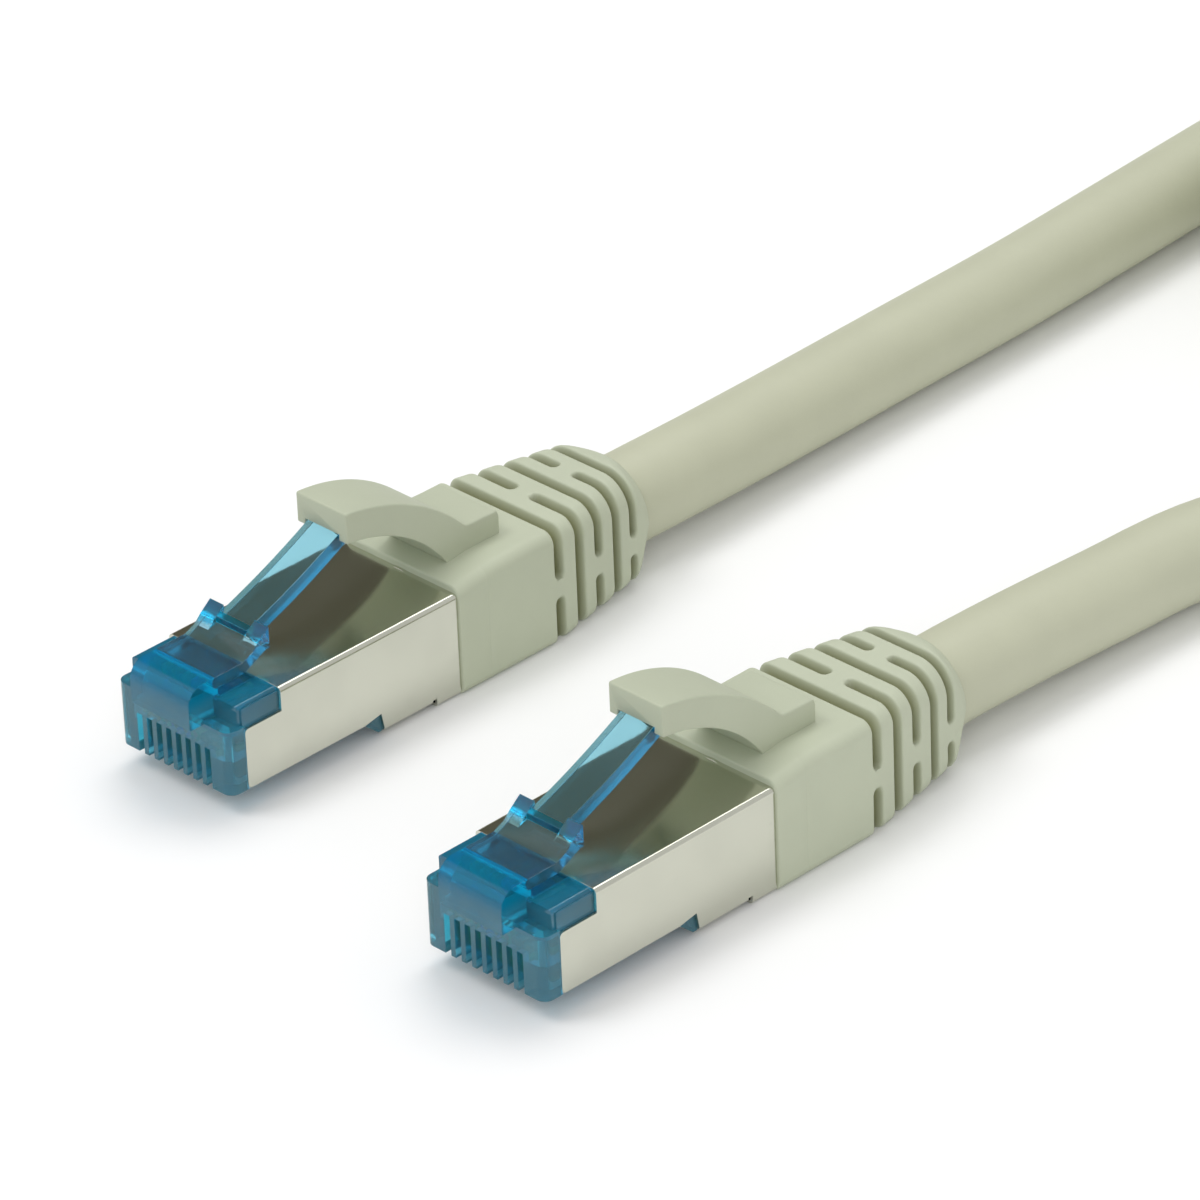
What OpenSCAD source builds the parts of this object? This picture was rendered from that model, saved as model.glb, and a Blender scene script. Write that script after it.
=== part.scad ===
// Shielded ethernet patch cable: two identical 8-way plugs with snag-free boots,
// lying side by side, and one cable that joins them through a tied coil.
// Plug frame: X runs back from the nose face, Y across, Z up from the bench.

/* [Plug body] */
// Width over the metal shell
plug_w = 11.7; // [11.2:0.1:12.4]
// Height of the body above its own underside
plug_h = 6.7; // [6.6:0.05:7.2]
// Length from the nose face to the boot
plug_l = 22.6; // [21.5:0.1:25]
// Height of the nose underside above the bench
nose_lift = 1.7; // [1.4:0.05:2]
// Height of the two shoulders beside the latch root
shoulder_h = 5.15; // [4.9:0.05:5.4]
// Depth of the shoulders, from the nose face
shoulder_l = 1.3; // [1:0.05:1.5]
// Set-back of each side of the body where it shows ahead of the shell roof
block_step = 0.4; // [0.3:0.05:0.7]
// Radius of the upright nose edges
nose_r = 0.8; // [0.4:0.1:1.2]
// Thickness of the nose wall in front of the conductors
nose_wall = 1.2; // [0.9:0.05:1.4]
// Distance from the nose face to the foot of the underside ramp
ramp_x = 14.5; // [14:0.1:15.2]
// Length of the ramp down to the deeper rear half
ramp_l = 1.5; // [1:0.1:2]
// Drop of the underside over the ramp
ramp_drop = 1.3; // [1:0.05:1.35]
// Width of the conductor channel
channel_w = 9.4; // [9:0.1:9.8]
// Height of the conductor channel
channel_h = 2.1; // [1.8:0.05:2.3]
// Height of the conductor row above the nose underside
row_h = 3.3; // [3.1:0.05:3.5]
// Clearance between parts that are pushed together
push_fit = 0.03; // [0.02:0.01:0.06]

/* [Contacts] */
// Pitch of the contacts and of the conductors
pitch = 1.016; // [1:0.004:1.03]
// Width of a contact slot
slot_w = 0.56; // [0.45:0.01:0.62]
// Length of a contact slot
slot_l = 4.8; // [4.4:0.1:5.4]
// Height of a contact slot
slot_h = 3.2; // [2.8:0.05:3.4]
// Thickness of a contact blade
blade_t = 0.35; // [0.25:0.01:0.42]
// Length of a contact blade
blade_l = 3.5; // [3:0.1:3.8]
// Distance from the nose face to a contact blade
blade_x = 0.9; // [0.7:0.05:1]
// Recess of the contact edge above the nose underside
blade_recess = 0.5; // [0.35:0.05:0.7]
// Length of the load bar that lines up the conductors
bar_l = 2.6; // [2:0.1:3.2]
// Distance from the nose face to the load bar
bar_x = 6; // [5.6:0.1:6.6]

/* [Latch] */
// Width of the latch plate, which is the key of the plug
latch_w = 6.1; // [5.8:0.05:6.4]
// Thickness of the latch plate
latch_t = 0.9; // [0.75:0.05:1]
// How far the latch root stands out in front of the nose face
root_out = 1.05; // [0.6:0.05:1.3]
// Distance from the nose face to the bending line of the latch
hinge_x = 1.8; // [1.6:0.05:2.1]
// Height of the bending line above the top of the body
hinge_h = 0.95; // [0.9:0.05:1.1]
// Length of the level part of the latch plate
plate_l = 2.5; // [2.2:0.1:2.8]
// Distance from the bending line to the locking faces
lock_l = 5.1; // [4.9:0.05:5.4]
// Rise of the ears above the latch plate
ear_h = 0.75; // [0.5:0.05:0.9]
// Width of the release lever
lever_w = 3.2; // [2.8:0.1:3.4]
// Thickness of the release lever
lever_t = 1.15; // [1:0.05:1.25]
// Length of the release lever
lever_l = 10.8; // [10.2:0.1:11]
// Slope of the ramp and the release lever
lever_rise = 23; // [22:0.25:24]
// Height of the lever foot above the bending line
lever_foot_h = 1.7; // [1.6:0.05:1.8]
// Radius of the rounded latch root
root_r = 1.4; // [0.8:0.1:1.6]

/* [Shell] */
// Thickness of the sheet metal
shell_t = 0.25; // [0.2:0.01:0.3]
// Distance from the nose face to the side panels
side_x = 1.65; // [1.6:0.05:2]
// Height of the low front part of the side panels
side_h = 4.85; // [4.5:0.05:5]
// Distance from the nose face to the shell roof
roof_x = 5.2; // [5:0.1:5.6]
// Radius of the long folds
fold_r = 0.4; // [0.3:0.05:0.5]
// Length of the crimped tail on the cable
tail_l = 5.9; // [5:0.1:6.5]
// Length of the lowered skirt at the rear of the shell
skirt_l = 2.45; // [2:0.05:3]
// Width of the relief slot ahead of the skirt
relief_l = 0.4; // [0.3:0.05:0.6]

/* [Cable] */
// Outer diameter of the cable
cable_d = 7.2; // [7:0.05:7.4]
// Thickness of the outer jacket
jacket_t = 0.5; // [0.45:0.01:0.55]
// Thickness of the braid
braid_t = 0.14; // [0.1:0.01:0.16]
// Diameter of an insulated conductor
core_d = 0.98; // [0.9:0.01:1]
// Diameter of a copper conductor
wire_d = 0.5; // [0.4:0.01:0.56]
// Outer diameter of a foil-wrapped pair
foil_d = 2.4; // [2.3:0.02:2.44]
// Thickness of the foil
foil_t = 0.08; // [0.06:0.01:0.1]
// Height of the cable axis inside the plug
axis_h = 4.4; // [4.35:0.01:4.5]

/* [Boot] */
// Width of the boot
boot_w = 12.2; // [12:0.1:13]
// Height of the boot
boot_h = 9.4; // [9.2:0.1:9.8]
// Height of the boot at its front face
boot_front_h = 8.9; // [8.7:0.05:9.1]
// Radius of the long top edges
boot_r = 1; // [0.7:0.1:1.4]
// Radius of the long bottom edges
boot_foot_r = 0.7; // [0.4:0.1:0.9]
// Length of the plain block of the boot
block_l = 9.5; // [9:0.1:10.5]
// Width of a groove in the strain relief
groove_l = 1; // [0.7:0.05:1.1]
// Distance from groove to groove
groove_pitch = 2.3; // [2.1:0.05:2.6]
// Depth of the grooves
groove_d = 1; // [0.5:0.05:1.1]
// Width of the relief at its last groove
relief_w = 9.1; // [9:0.1:9.8]
// Length of the closed end of the boot
boot_end_l = 3.2; // [2.8:0.1:4]
// Width of the rim where the cable leaves the boot
boot_rim = 0.3; // [0.2:0.05:0.6]
// Height of the unslotted sole of the boot
sole_h = 0.9; // [0.6:0.05:1.2]
// Size of the webs that bridge a groove
web_l = 1.6; // [1.2:0.1:2]
// Length of the raised pad behind the hood
pad_l = 3.4; // [2.8:0.1:4]
// Height of the raised pad
pad_h = 2; // [1.8:0.1:2.2]

/* [Hood] */
// Width of the hood at its root
hood_w = 6; // [5.8:0.1:6.4]
// Width of the hood at its lip
lip_w = 5.2; // [5:0.1:5.4]
// Reach of the hood from its bending line to its lip
hood_reach = 10; // [9.8:0.1:10.1]
// Distance from the boot face to the bending line
hood_x = 2.65; // [2.5:0.05:2.8]
// Height of the bending line above the front of the boot
hood_h = 1.6; // [1.55:0.05:1.7]
// Radius of the hood root
heel_r = 1.45; // [1.3:0.05:1.5]
// Clearance round the two bending roots
heel_fit = 0.05; // [0.04:0.01:0.08]
// Radius of the bow of the hood's upper side
hood_out_r = 16.76; // [15:0.01:20]
// Radius of the bow of the hood's underside
hood_in_r = 11.85; // [11:0.01:14]
// Height of the lip above the front of the boot
lip_h = 8.06; // [7.9:0.01:8.4]
// Depth of the skirts at the lip
skirt_h = 2.48; // [2.2:0.01:2.8]
// Depth of the hood above its bending line
root_t = 1.47; // [1.3:0.01:1.6]
// Width of the channel for the lever
hood_channel_w = 4.1; // [3.9:0.05:4.3]
// Thickness of the lip above the lever
lip_t = 1.7; // [1.5:0.05:1.8]

/* [Layout] */
// Distance between the two plugs
row_pitch = 35.4; // [30:0.2:45]
// Set-back of the first plug from the second
stagger = 3.9; // [0:0.1:8]
// Radius of the coil at the middle of its turns
coil_r = 38; // [36:0.2:41]
// Width of the tie
tie_w = 12; // [8:0.5:20]
// Thickness of the tie
tie_t = 0.8; // [0.6:0.1:1.2]

/* [Hidden] */

$fn = 48;
ways = 8;
cut = 20;                                   // reach of a cutting tool beyond the part
eps = 0.01;

// Heights in the plug frame
nose_top = nose_lift + plug_h;
shoulder_top = nose_lift + shoulder_h;
deep_z = nose_lift - ramp_drop;
row_z = nose_lift + row_h;
side_top = nose_lift + side_h;
under_w = plug_w - 2*shell_t - 2*push_fit;  // body width inside the shell
block_w = plug_w - 2*block_step;
skirt_z = 0.05;
recess_z = nose_top - 0.4;                  // floor under the latch plate

// Latch
hinge_z = nose_top + hinge_h;
plate_top = hinge_z + latch_t/2;
ramp_rise = (lock_l - plate_l) * tan(lever_rise);
lever_x = hinge_x + plate_l + 1.8;
ear_w = (latch_w - lever_w)/2;

// Cable and what it is made of
cable_r = cable_d/2;
jacket_bore = cable_r - jacket_t;
braid_bore = jacket_bore - push_fit - braid_t;
sleeve_r = cable_r + push_fit + braid_t;    // braid folded back over the jacket
tail_bore = sleeve_r + push_fit;
tail_r = tail_bore + shell_t;
pair_r = foil_d/2 * sqrt(2) + push_fit;     // pairs lie in a square, corner up
strip_x = plug_l + 0.4;                     // end of the jacket
fan_x = [bar_x + bar_l + 1.9, ramp_x + 2];  // stretch where the conductors fan out
foil_x = fan_x[1] + 1;

// Boot
boot_x = plug_l;
relief_x = boot_x + block_l;
grooves = 5;
last_groove = relief_x + (grooves - 1)*groove_pitch;
boot_end = last_groove + groove_l + boot_end_l;
relief_r = 2.3;                             // edge radius where the relief ends
tip_r = relief_w/2 + 1.1;                   // radius where the rounded end starts
rim_r = cable_r + boot_rim;
boot_nose_l = boot_end_l*0.35;              // length of the steeper end cone
heel = [boot_x + hood_x, boot_front_h + hood_h];
root_lean = 43.5;                           // slope of the hood's root
lip_x = heel[0] - hood_reach;
lean = [cos(root_lean), sin(root_lean)];
root_under = heel_r - 0.02;                 // depth of the hood below its bending line
lip_top = boot_front_h + lip_h;
hood_out = arc_centre([lip_x, lip_top], heel + root_t*lean, hood_out_r);
hood_in = arc_centre([lip_x, lip_top - skirt_h], heel - root_under*lean, hood_in_r);
pad_x = heel[0] + heel_r*cos(root_lean);

// Layout of the two ends about the origin
nose_a = [-(boot_end - stagger - root_out)/2, row_pitch/2];
nose_b = [nose_a[0] - stagger, -row_pitch/2];
exit_a = [nose_a[0] + boot_end, nose_a[1], axis_h];
exit_b = [nose_b[0] + boot_end, nose_b[1], axis_h];

// Coil: two turns side by side and half a turn on top of them
tie_fit = 0.1;
coil_z = tie_t + tie_fit;
top_lane_z = coil_z + cable_r + cable_d*sin(60);
coil_c = [119, -20.2];
tie_turn = -20;                             // where the tie sits round the coil

// Points along the two leads, from each boot to the coil
route_a = [exit_a, [33, 17.9, 4.2], [43, 18.4, 3.9], [56, 19, 3.7], [70, 19.5, 3.6],
  [83, 20.2, 3.7], [95, 20.9, 3.8], [107, 21.3, 4.1], [119, 21.4, 4.5]];
route_b = [exit_b, [30, -17.7, 4.2], [39, -17.8, 3.8], [48, -18.4, 3.7],
  [57, -21.2, 3.6], [64, -26.4, 3.7], [69.5, -33.4, 4.1], [74, -41.4, 5.6],
  [80, -49.4, 8.3], [88.5, -56, 11], [99, -60, 12.2], [110, -60.2, 11.8],
  [119, -58.2, 10.7]];

// ---------------------------------------------------------------- helpers

// Centre of the arc of radius r that bows up from point p to point q
function arc_centre(p, q, r) =
  let (c = q - p, n = [c[1], -c[0]]/norm(c))
  (p + q)/2 + n*sqrt(r*r - c*c/4);

module end_a() translate([nose_a[0], nose_a[1], 0]) children();
module end_b() translate([nose_b[0], nose_b[1], 0]) children();

// A side outline (X, Z) as a plate of width w about the middle plane
module plate(w) rotate([90, 0, 0]) linear_extrude(w, center = true) children();

// A cross-section (Y, Z) drawn out along X from x0 to x1
module along(x0, x1) translate([x0, 0, 0])
  rotate([90, 0, 90]) linear_extrude(x1 - x0) children();

// A box from x0 to x1 and z0 to z1, w wide about the middle plane
module block(x0, x1, w, z0, z1) translate([x0, -w/2, z0]) cube([x1 - x0, w, z1 - z0]);

// A rod along X from x0 to x1 on the cable axis
module rod(x0, x1, r) translate([x0, 0, axis_h]) rotate([0, 90, 0])
  cylinder(h = x1 - x0, r = r);

// A tube along X
module tube(x0, x1, r, bore) difference() {
  rod(x0, x1, r);
  rod(x0 - 1, x1 + 1, bore);
}

// A section w wide from z0 to z1 with upper edges rt and lower edges rb
module soft_section(w, z0, z1, rt, rb) union() {
  translate([-w/2, z0 + rb]) square([w, z1 - z0 - rb - rt]);
  translate([-w/2 + rt, z0 + rb]) square([w - 2*rt, z1 - z0 - rb]);
  translate([-w/2 + rb, z0]) square([w - 2*rb, z1 - z0 - rt]);
  for (s = [-1, 1]) {
    translate([s*(w/2 - rt), z1 - rt]) circle(rt);
    translate([s*(w/2 - rb), z0 + rb]) circle(rb);
  }
}

// A rod of radius r from point p to point q, run on by e at both ends
module link(p, q, r, e) {
  d = (q - p)/norm(q - p);
  translate(p - e*d) rotate([0, acos(d[2]), atan2(d[1], d[0])])
    cylinder(h = norm(q - p) + 2*e, r = r);
}

// ---------------------------------------------------------------- plug body

// Nose, main block, deep rear half and the fixed root of the latch
module housing_solid() {
  translate([0, 0, nose_lift]) linear_extrude(shoulder_h) union() {
    translate([nose_r, -plug_w/2]) square([side_x - nose_r, plug_w]);
    translate([0, -plug_w/2 + nose_r]) square([side_x, plug_w - 2*nose_r]);
    for (s = [-1, 1]) translate([nose_r, s*(plug_w/2 - nose_r)]) circle(nose_r);
  }
  block(side_x - eps, plug_l - shell_t - push_fit, under_w, nose_lift,
    nose_top - shell_t - push_fit);
  along(shoulder_l, roof_x - push_fit)
    soft_section(block_w, nose_lift, nose_top, 0.3, 0.3);
  plate(under_w) polygon([
    [ramp_x - ramp_l, nose_lift], [ramp_x, deep_z], [ramp_x + 0.4, deep_z],
    [ramp_x + 0.4, deep_z + shell_t + push_fit],
    [plug_l - shell_t - push_fit, deep_z + shell_t + push_fit],
    [plug_l - shell_t - push_fit, nose_lift + 1], [ramp_x - ramp_l, nose_lift + 1]]);
  plate(latch_w) latch_root();
}

// Side outline of the latch root, rounded at its upper front edge
module latch_root() union() {
  translate([-root_out, shoulder_top - 0.3])
    square([root_out + hinge_x, plate_top - root_r - shoulder_top + 0.3]);
  translate([-root_out + root_r, shoulder_top])
    square([root_out + hinge_x - root_r, plate_top - shoulder_top]);
  translate([-root_out + root_r, plate_top - root_r]) circle(root_r);
}

module housing() color([0.02, 0.45, 0.68, 0.8]) difference() {
  housing_solid();
  // socket for the heel of the latch and the relief under its plate
  translate([hinge_x, 0, hinge_z]) rotate([90, 0, 0])
    cylinder(h = cut, r = latch_t/2 + heel_fit, center = true);
  block(hinge_x, roof_x + eps, latch_w + 0.4, recess_z, nose_top + cut);
  // contact slots, open to the front and below
  for (i = [1:ways]) translate([0, pin_y(i), 0])
    block(-1, slot_l, slot_w, nose_lift - 1, nose_lift + slot_h);
  // channel for the conductor row, fan chamber and cable entry
  block(nose_wall, fan_x[0] + 1, channel_w, row_z - channel_h/2, row_z + channel_h/2);
  block(fan_x[0] - 0.4, ramp_x + 0.5, channel_w, nose_lift + 0.9, row_z + 2.2);
  block(ramp_x + 0.4, foil_x + 0.6, channel_w, deep_z + 0.9, row_z + 2.2);
  rod(foil_x, plug_l + 1, pair_r + foil_d/2 + 0.2);
}

// Place across the plug of conductor i, counted from the far side
function pin_y(i) = ((ways + 1)/2 - i)*pitch;

module latch() color([0.1, 0.62, 0.78, 0.75]) {
  plate(latch_w) union() {
    translate([hinge_x, hinge_z]) circle(latch_t/2);
    translate([hinge_x, hinge_z]) polygon([
      [0, -latch_t/2], [plate_l + 0.1, -latch_t/2],
      [lock_l, ramp_rise - latch_t/2 + 0.05], [lock_l, ramp_rise + latch_t/2],
      [plate_l, latch_t/2], [0, latch_t/2]]);
  }
  // the two ears with the locking faces
  for (s = [-1, 1]) translate([0, s*(latch_w - ear_w)/2, 0])
    plate(ear_w) translate([hinge_x, hinge_z]) polygon([
      [lock_l - 1.6, ramp_rise - 0.5], [lock_l, ramp_rise + latch_t/2 - 1],
      [lock_l, ramp_rise + latch_t/2 + ear_h], [lock_l - 1, ramp_rise + latch_t/2 - 0.1],
      [lock_l - 1.6, ramp_rise + latch_t/2 - 0.68]]);
  plate(lever_w) lever();
}

// Side outline of the release lever, from its foot on the plate to its tip
module lever() translate([lever_x, hinge_z + lever_foot_h]) rotate(lever_rise) union() {
  polygon([[0, 0], [lever_l - lever_t/2, 0], [lever_l - lever_t/2, -lever_t],
    [0.5, -lever_t], [-0.4, -lever_t*0.9]]);
  translate([lever_l - lever_t/2, -lever_t/2]) circle(lever_t/2);
}

// Sets a side outline as a blade at place y across the plug
module at_blade(y) translate([blade_x, y, 0]) plate(blade_t) children();

// One contact blade: a stamped plate with a rounded nose and two points
module blade() {
  z0 = nose_lift + blade_recess;
  z1 = row_z - core_d/2;
  translate([0.5, z0]) square([blade_l - 0.5, z1 - z0]);
  translate([0, z0 + 0.5]) square([0.6, z1 - z0 - 0.5]);
  translate([0.5, z0 + 0.5]) circle(0.5);
  blade_points();
}

// The points that reach through the insulation into the copper
module blade_points() for (x = [0.7, 2.3])
  polygon([[x, row_z - core_d/2 - eps], [x + 0.5, row_z - core_d/2 - eps],
    [x + 0.35, row_z - 0.05], [x + 0.15, row_z - 0.05]]);

module contacts() color([0.85, 0.68, 0.28])
  for (i = [1:ways]) at_blade(pin_y(i)) blade();

module load_bar() color([0.85, 0.87, 0.88]) difference() {
  block(bar_x, bar_x + bar_l, channel_w - 2*push_fit, row_z - channel_h/2 + push_fit,
    row_z + channel_h/2 - push_fit);
  for (i = [1:ways]) translate([bar_x - 1, pin_y(i), row_z]) rotate([0, 90, 0])
    cylinder(h = bar_l + 2, d = core_d + 2*push_fit, $fn = 24);
}

// Cross-section of the shell between floor z0 and the roof
module shell_section(z0) difference() {
  soft_section(plug_w, z0, nose_top, fold_r, fold_r);
  soft_section(plug_w - 2*shell_t, z0 + shell_t, nose_top - shell_t,
    fold_r - shell_t, fold_r - shell_t);
}

module shell() color([0.78, 0.78, 0.73]) {
  skirt_x = plug_l - skirt_l;
  intersection() {
    along(side_x, skirt_x) shell_section(deep_z);
    plate(plug_w + 1) difference() {
      polygon([[side_x, nose_lift], [ramp_x - ramp_l, nose_lift],
        [ramp_x + 0.15, nose_lift + 0.3], [ramp_x + 0.45, deep_z],
        [skirt_x - relief_l, deep_z], [skirt_x - relief_l, deep_z + relief_l],
        [skirt_x, deep_z + relief_l], [skirt_x, nose_top], [roof_x, nose_top],
        [roof_x, side_top], [side_x, side_top]]);
      corner_cut([side_x, nose_lift], 0.35, 0);
      corner_cut([side_x, side_top], 0.35, -90);
    }
  }
  along(skirt_x - eps, plug_l) shell_section(skirt_z);
  // rear wall and crimped tail
  difference() {
    union() {
      along(plug_l - shell_t, plug_l)
        soft_section(plug_w, skirt_z, nose_top, fold_r, fold_r);
      rod(plug_l - shell_t, plug_l + tail_l, tail_r);
    }
    rod(plug_l - 1, plug_l + tail_l + 1, tail_bore);
  }
}

// What rounds off a square corner at p with radius r, turned by a
module corner_cut(p, r, a) translate(p) rotate(a) difference() {
  translate([-1, -1]) square(r + 1);
  translate([r, r]) circle(r);
}

// ---------------------------------------------------------------- cable inside the plug

// The four pairs: conductor numbers and the angle of the pair round the cable axis
pair_orange = [[1, 2], 0];
pair_green = [[3, 6], 90];
pair_brown = [[7, 8], 180];
pair_blue = [[4, 5], 270];
pairs = [pair_orange, pair_green, pair_brown, pair_blue];

// Centre of a pair in the cable, and of conductor k of that pair
function pair_at(p) = [pair_r*cos(p[1]), axis_h + pair_r*sin(p[1])];
function core_at(p, k) = pair_at(p) + [(0.5 - k)*(core_d + push_fit), 0];

// Path of conductor k of a pair at radius r, from its front end at x0: straight in
// the row, drawn a little thinner where it fans in, then straight in the bundle
module core_path(p, k, r, x0) {
  y = pin_y(p[0][k]);
  at = core_at(p, k);
  translate([x0, y, row_z]) rotate([0, 90, 0]) cylinder(h = fan_x[0] - x0, r = r);
  link([fan_x[0], y, row_z], [fan_x[1], at[0], at[1]], 0.85*r, 0.35*r);
  translate([fan_x[1], at[0], at[1]]) rotate([0, 90, 0])
    cylinder(h = boot_end - fan_x[1], r = r);
}

// Insulation of the two conductors of a pair, pierced by the contact points
module pair_wires(p) difference() {
  for (k = [0, 1]) core_path(p, k, core_d/2, nose_wall + 0.2);
  for (k = [0, 1]) core_path(p, k, wire_d/2, nose_wall + 0.2 - eps);
  for (k = [0, 1]) at_blade(pin_y(p[0][k])) blade_points();
}

module wires_orange() color([0.93, 0.5, 0.15]) pair_wires(pair_orange);
module wires_green() color([0.2, 0.6, 0.3]) pair_wires(pair_green);
module wires_brown() color([0.5, 0.32, 0.2]) pair_wires(pair_brown);
module wires_blue() color([0.15, 0.35, 0.75]) pair_wires(pair_blue);

module conductors() color([0.8, 0.45, 0.25])
  for (p = pairs, k = [0, 1]) difference() {
    core_path(p, k, wire_d/2, nose_wall + 0.2);
    at_blade(pin_y(p[0][k])) blade_points();
  }

module pair_foils() color([0.8, 0.82, 0.84]) for (p = pairs)
  translate([foil_x, pair_at(p)[0], pair_at(p)[1]]) rotate([0, 90, 0]) difference() {
    cylinder(h = boot_end - foil_x, d = foil_d);
    translate([0, 0, -1]) cylinder(h = boot_end, d = foil_d - 2*foil_t);
  }

// The braid lies round the pairs and is folded back over the end of the jacket
module braid() color([0.72, 0.72, 0.7]) {
  tube(strip_x - braid_t - push_fit, boot_end, braid_bore + braid_t, braid_bore);
  tube(strip_x - braid_t - push_fit, strip_x - push_fit, sleeve_r, braid_bore);
  tube(strip_x - braid_t - push_fit, plug_l + tail_l + 0.8, sleeve_r, cable_r + push_fit);
}

module jacket() color([0.7, 0.71, 0.63])
  tube(strip_x, boot_end, cable_r, jacket_bore);

// ---------------------------------------------------------------- boot

// Width and edge radius of the relief at x, narrowing towards its end
function taper(x) = min(1, max(0, (x - relief_x)/(last_groove + groove_l - relief_x)));
function relief_w_at(x) = boot_w + (relief_w - boot_w)*taper(x);
function relief_r_at(x) = boot_r + (relief_r - boot_r)*taper(x);

// A slice of the relief, shrunk by d
module slice(x0, x1, d) {
  xm = (x0 + x1)/2;
  along(x0, x1) soft_section(relief_w_at(xm) - 2*d, 0, boot_h - d, relief_r_at(xm) - d/2,
    boot_foot_r);
}

// One groove: a shrunk core, the sole, and webs on the sides or on top
module groove(i) {
  x0 = relief_x + i*groove_pitch;
  x1 = x0 + groove_l;
  slice(x0 - eps, x1 + eps, groove_d);
  intersection() {
    slice(x0 - eps, x1 + eps, 0);
    union() {
      block(x0 - 1, x1 + 1, boot_w + 1, -1, sole_h);
      if (i % 2 == 0) {
        z = axis_h + 0.2 - i*0.17;
        block(x0 - 1, x1 + 1, boot_w + 1, z - web_l/2, z + web_l/2);
      } else block(x0 - 1, x1 + 1, web_l, axis_h, boot_h + 1);
    }
  }
}

// Closed end of the boot, drawn in towards the cable by two cones
module boot_tip() {
  x0 = last_groove + groove_l - eps;
  xm = boot_end - boot_nose_l;
  rm = (tip_r + rim_r)/2 + 0.3;
  intersection() {
    slice(x0, boot_end, 0);
    translate([x0, 0, axis_h]) rotate([0, 90, 0]) union() {
      cylinder(h = xm - x0, r1 = tip_r, r2 = rm);
      translate([0, 0, xm - x0]) cylinder(h = boot_nose_l, r1 = rm, r2 = rim_r);
    }
  }
}

module boot() color([0.71, 0.72, 0.64]) difference() {
  union() {
    intersection() {
      along(boot_x, relief_x) soft_section(boot_w, 0, boot_h, boot_r, boot_foot_r);
      plate(boot_w + 1) polygon([[boot_x, 0], [relief_x, 0], [relief_x, boot_h],
        [pad_x, boot_h], [boot_x, boot_front_h]]);
    }
    block(heel[0], pad_x + pad_l, hood_w, axis_h + tail_r + 0.2, boot_h + pad_h);
    for (i = [0:grooves - 1]) groove(i);
    for (i = [0:grooves - 2]) slice(relief_x + i*groove_pitch + groove_l,
      relief_x + (i + 1)*groove_pitch, 0);
    boot_tip();
  }
  // socket for the root of the hood
  translate([heel[0], 0, heel[1]]) rotate([90, 0, 0])
    cylinder(h = hood_w + 0.2, r = heel_r + heel_fit, center = true);
  plate(hood_w + 0.2) translate(heel) rotate(root_lean)
    translate([-cut, 0]) square([2*cut, cut]);
  // bores for the crimped tail, the braid and the jacket
  rod(boot_x - 1, boot_x + tail_l + 0.1, tail_r + push_fit);
  rod(boot_x, boot_x + tail_l + 1, sleeve_r + push_fit);
  rod(boot_x, boot_end + 1, cable_r + push_fit);
}

// The hood is a bowed tongue: two arcs, cut at its root and at its lip
module hood() color([0.73, 0.74, 0.66]) difference() {
  intersection() {
    plate(hood_w) union() {
      intersection() {
        difference() {
          translate(hood_out) circle(hood_out_r, $fn = 96);
          translate(hood_in) circle(hood_in_r, $fn = 96);
        }
        translate([lip_x, 0]) square(cut*2);
        translate(heel) rotate(root_lean) translate([-cut, 0]) square([2*cut, cut]);
      }
      translate(heel) circle(heel_r);
    }
    linear_extrude(cut*2) polygon([[lip_x, -lip_w/2], [heel[0], -hood_w/2],
      [heel[0] + cut, -hood_w/2], [heel[0] + cut, hood_w/2], [heel[0], hood_w/2],
      [lip_x, lip_w/2]]);
  }
  plate(hood_channel_w) polygon([[lip_x - 1, 0], [lip_x - 1, lip_top - lip_t],
    [lip_x, lip_top - lip_t], [lip_x + 1.3, lip_top - lip_t + 0.5],
    [lip_x + 4, lip_top - lip_t - 0.1], [lip_x + 4.6, 0]]);
}

// ---------------------------------------------------------------- cord

// Point k of a ring of n points, radius r, square to direction d at point p
function ring_point(p, d, r, k, n) =
  let (side = [-d[1], d[0], 0]/norm([d[0], d[1]]), up = cross(d, side))
  p + r*(cos(360*k/n)*side + sin(360*k/n)*up);

// Direction of a route at point i
function heading(route, i) =
  let (a = route[max(i - 1, 0)], b = route[min(i + 1, len(route) - 1)])
  i == 0 ? [1, 0, 0] : (b - a)/norm(b - a);

// A tube swept along a route, with n sides
module swept_tube(route, r, n = 12) {
  rings = len(route);
  polyhedron(
    points = [for (i = [0:rings - 1], k = [0:n - 1])
      ring_point(route[i], heading(route, i), r, k, n)],
    faces = concat(
      [[for (k = [0:n - 1]) k]],
      [for (i = [0:rings - 2], k = [0:n - 1]) let (j = (k + 1) % n)
        [i*n + k, (i + 1)*n + k, (i + 1)*n + j, i*n + j]],
      [[for (k = [n - 1:-1:0]) (rings - 1)*n + k]]));
}

// A smooth curve through the route points, m steps from point to point
function curve_point(a, b, c, d, t) =
  0.5*(2*b + (c - a)*t + (2*a - 5*b + 4*c - d)*t*t + (3*b - a - 3*c + d)*t*t*t);
function smooth(route, m = 3) = let (n = len(route) - 1) concat(
  [for (i = [0:n - 1], s = [0:m - 1])
    let (a = i == 0 ? 2*route[0] - route[1] : route[i - 1],
         d = i == n - 1 ? 2*route[n] - route[n - 1] : route[i + 2])
    curve_point(a, route[i], route[i + 1], d, s/m)],
  [route[n]]);

module cable_lead_a() color([0.7, 0.71, 0.63]) swept_tube(smooth(route_a), cable_r);
module cable_lead_b() color([0.7, 0.71, 0.63]) swept_tube(smooth(route_b), cable_r);

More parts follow.
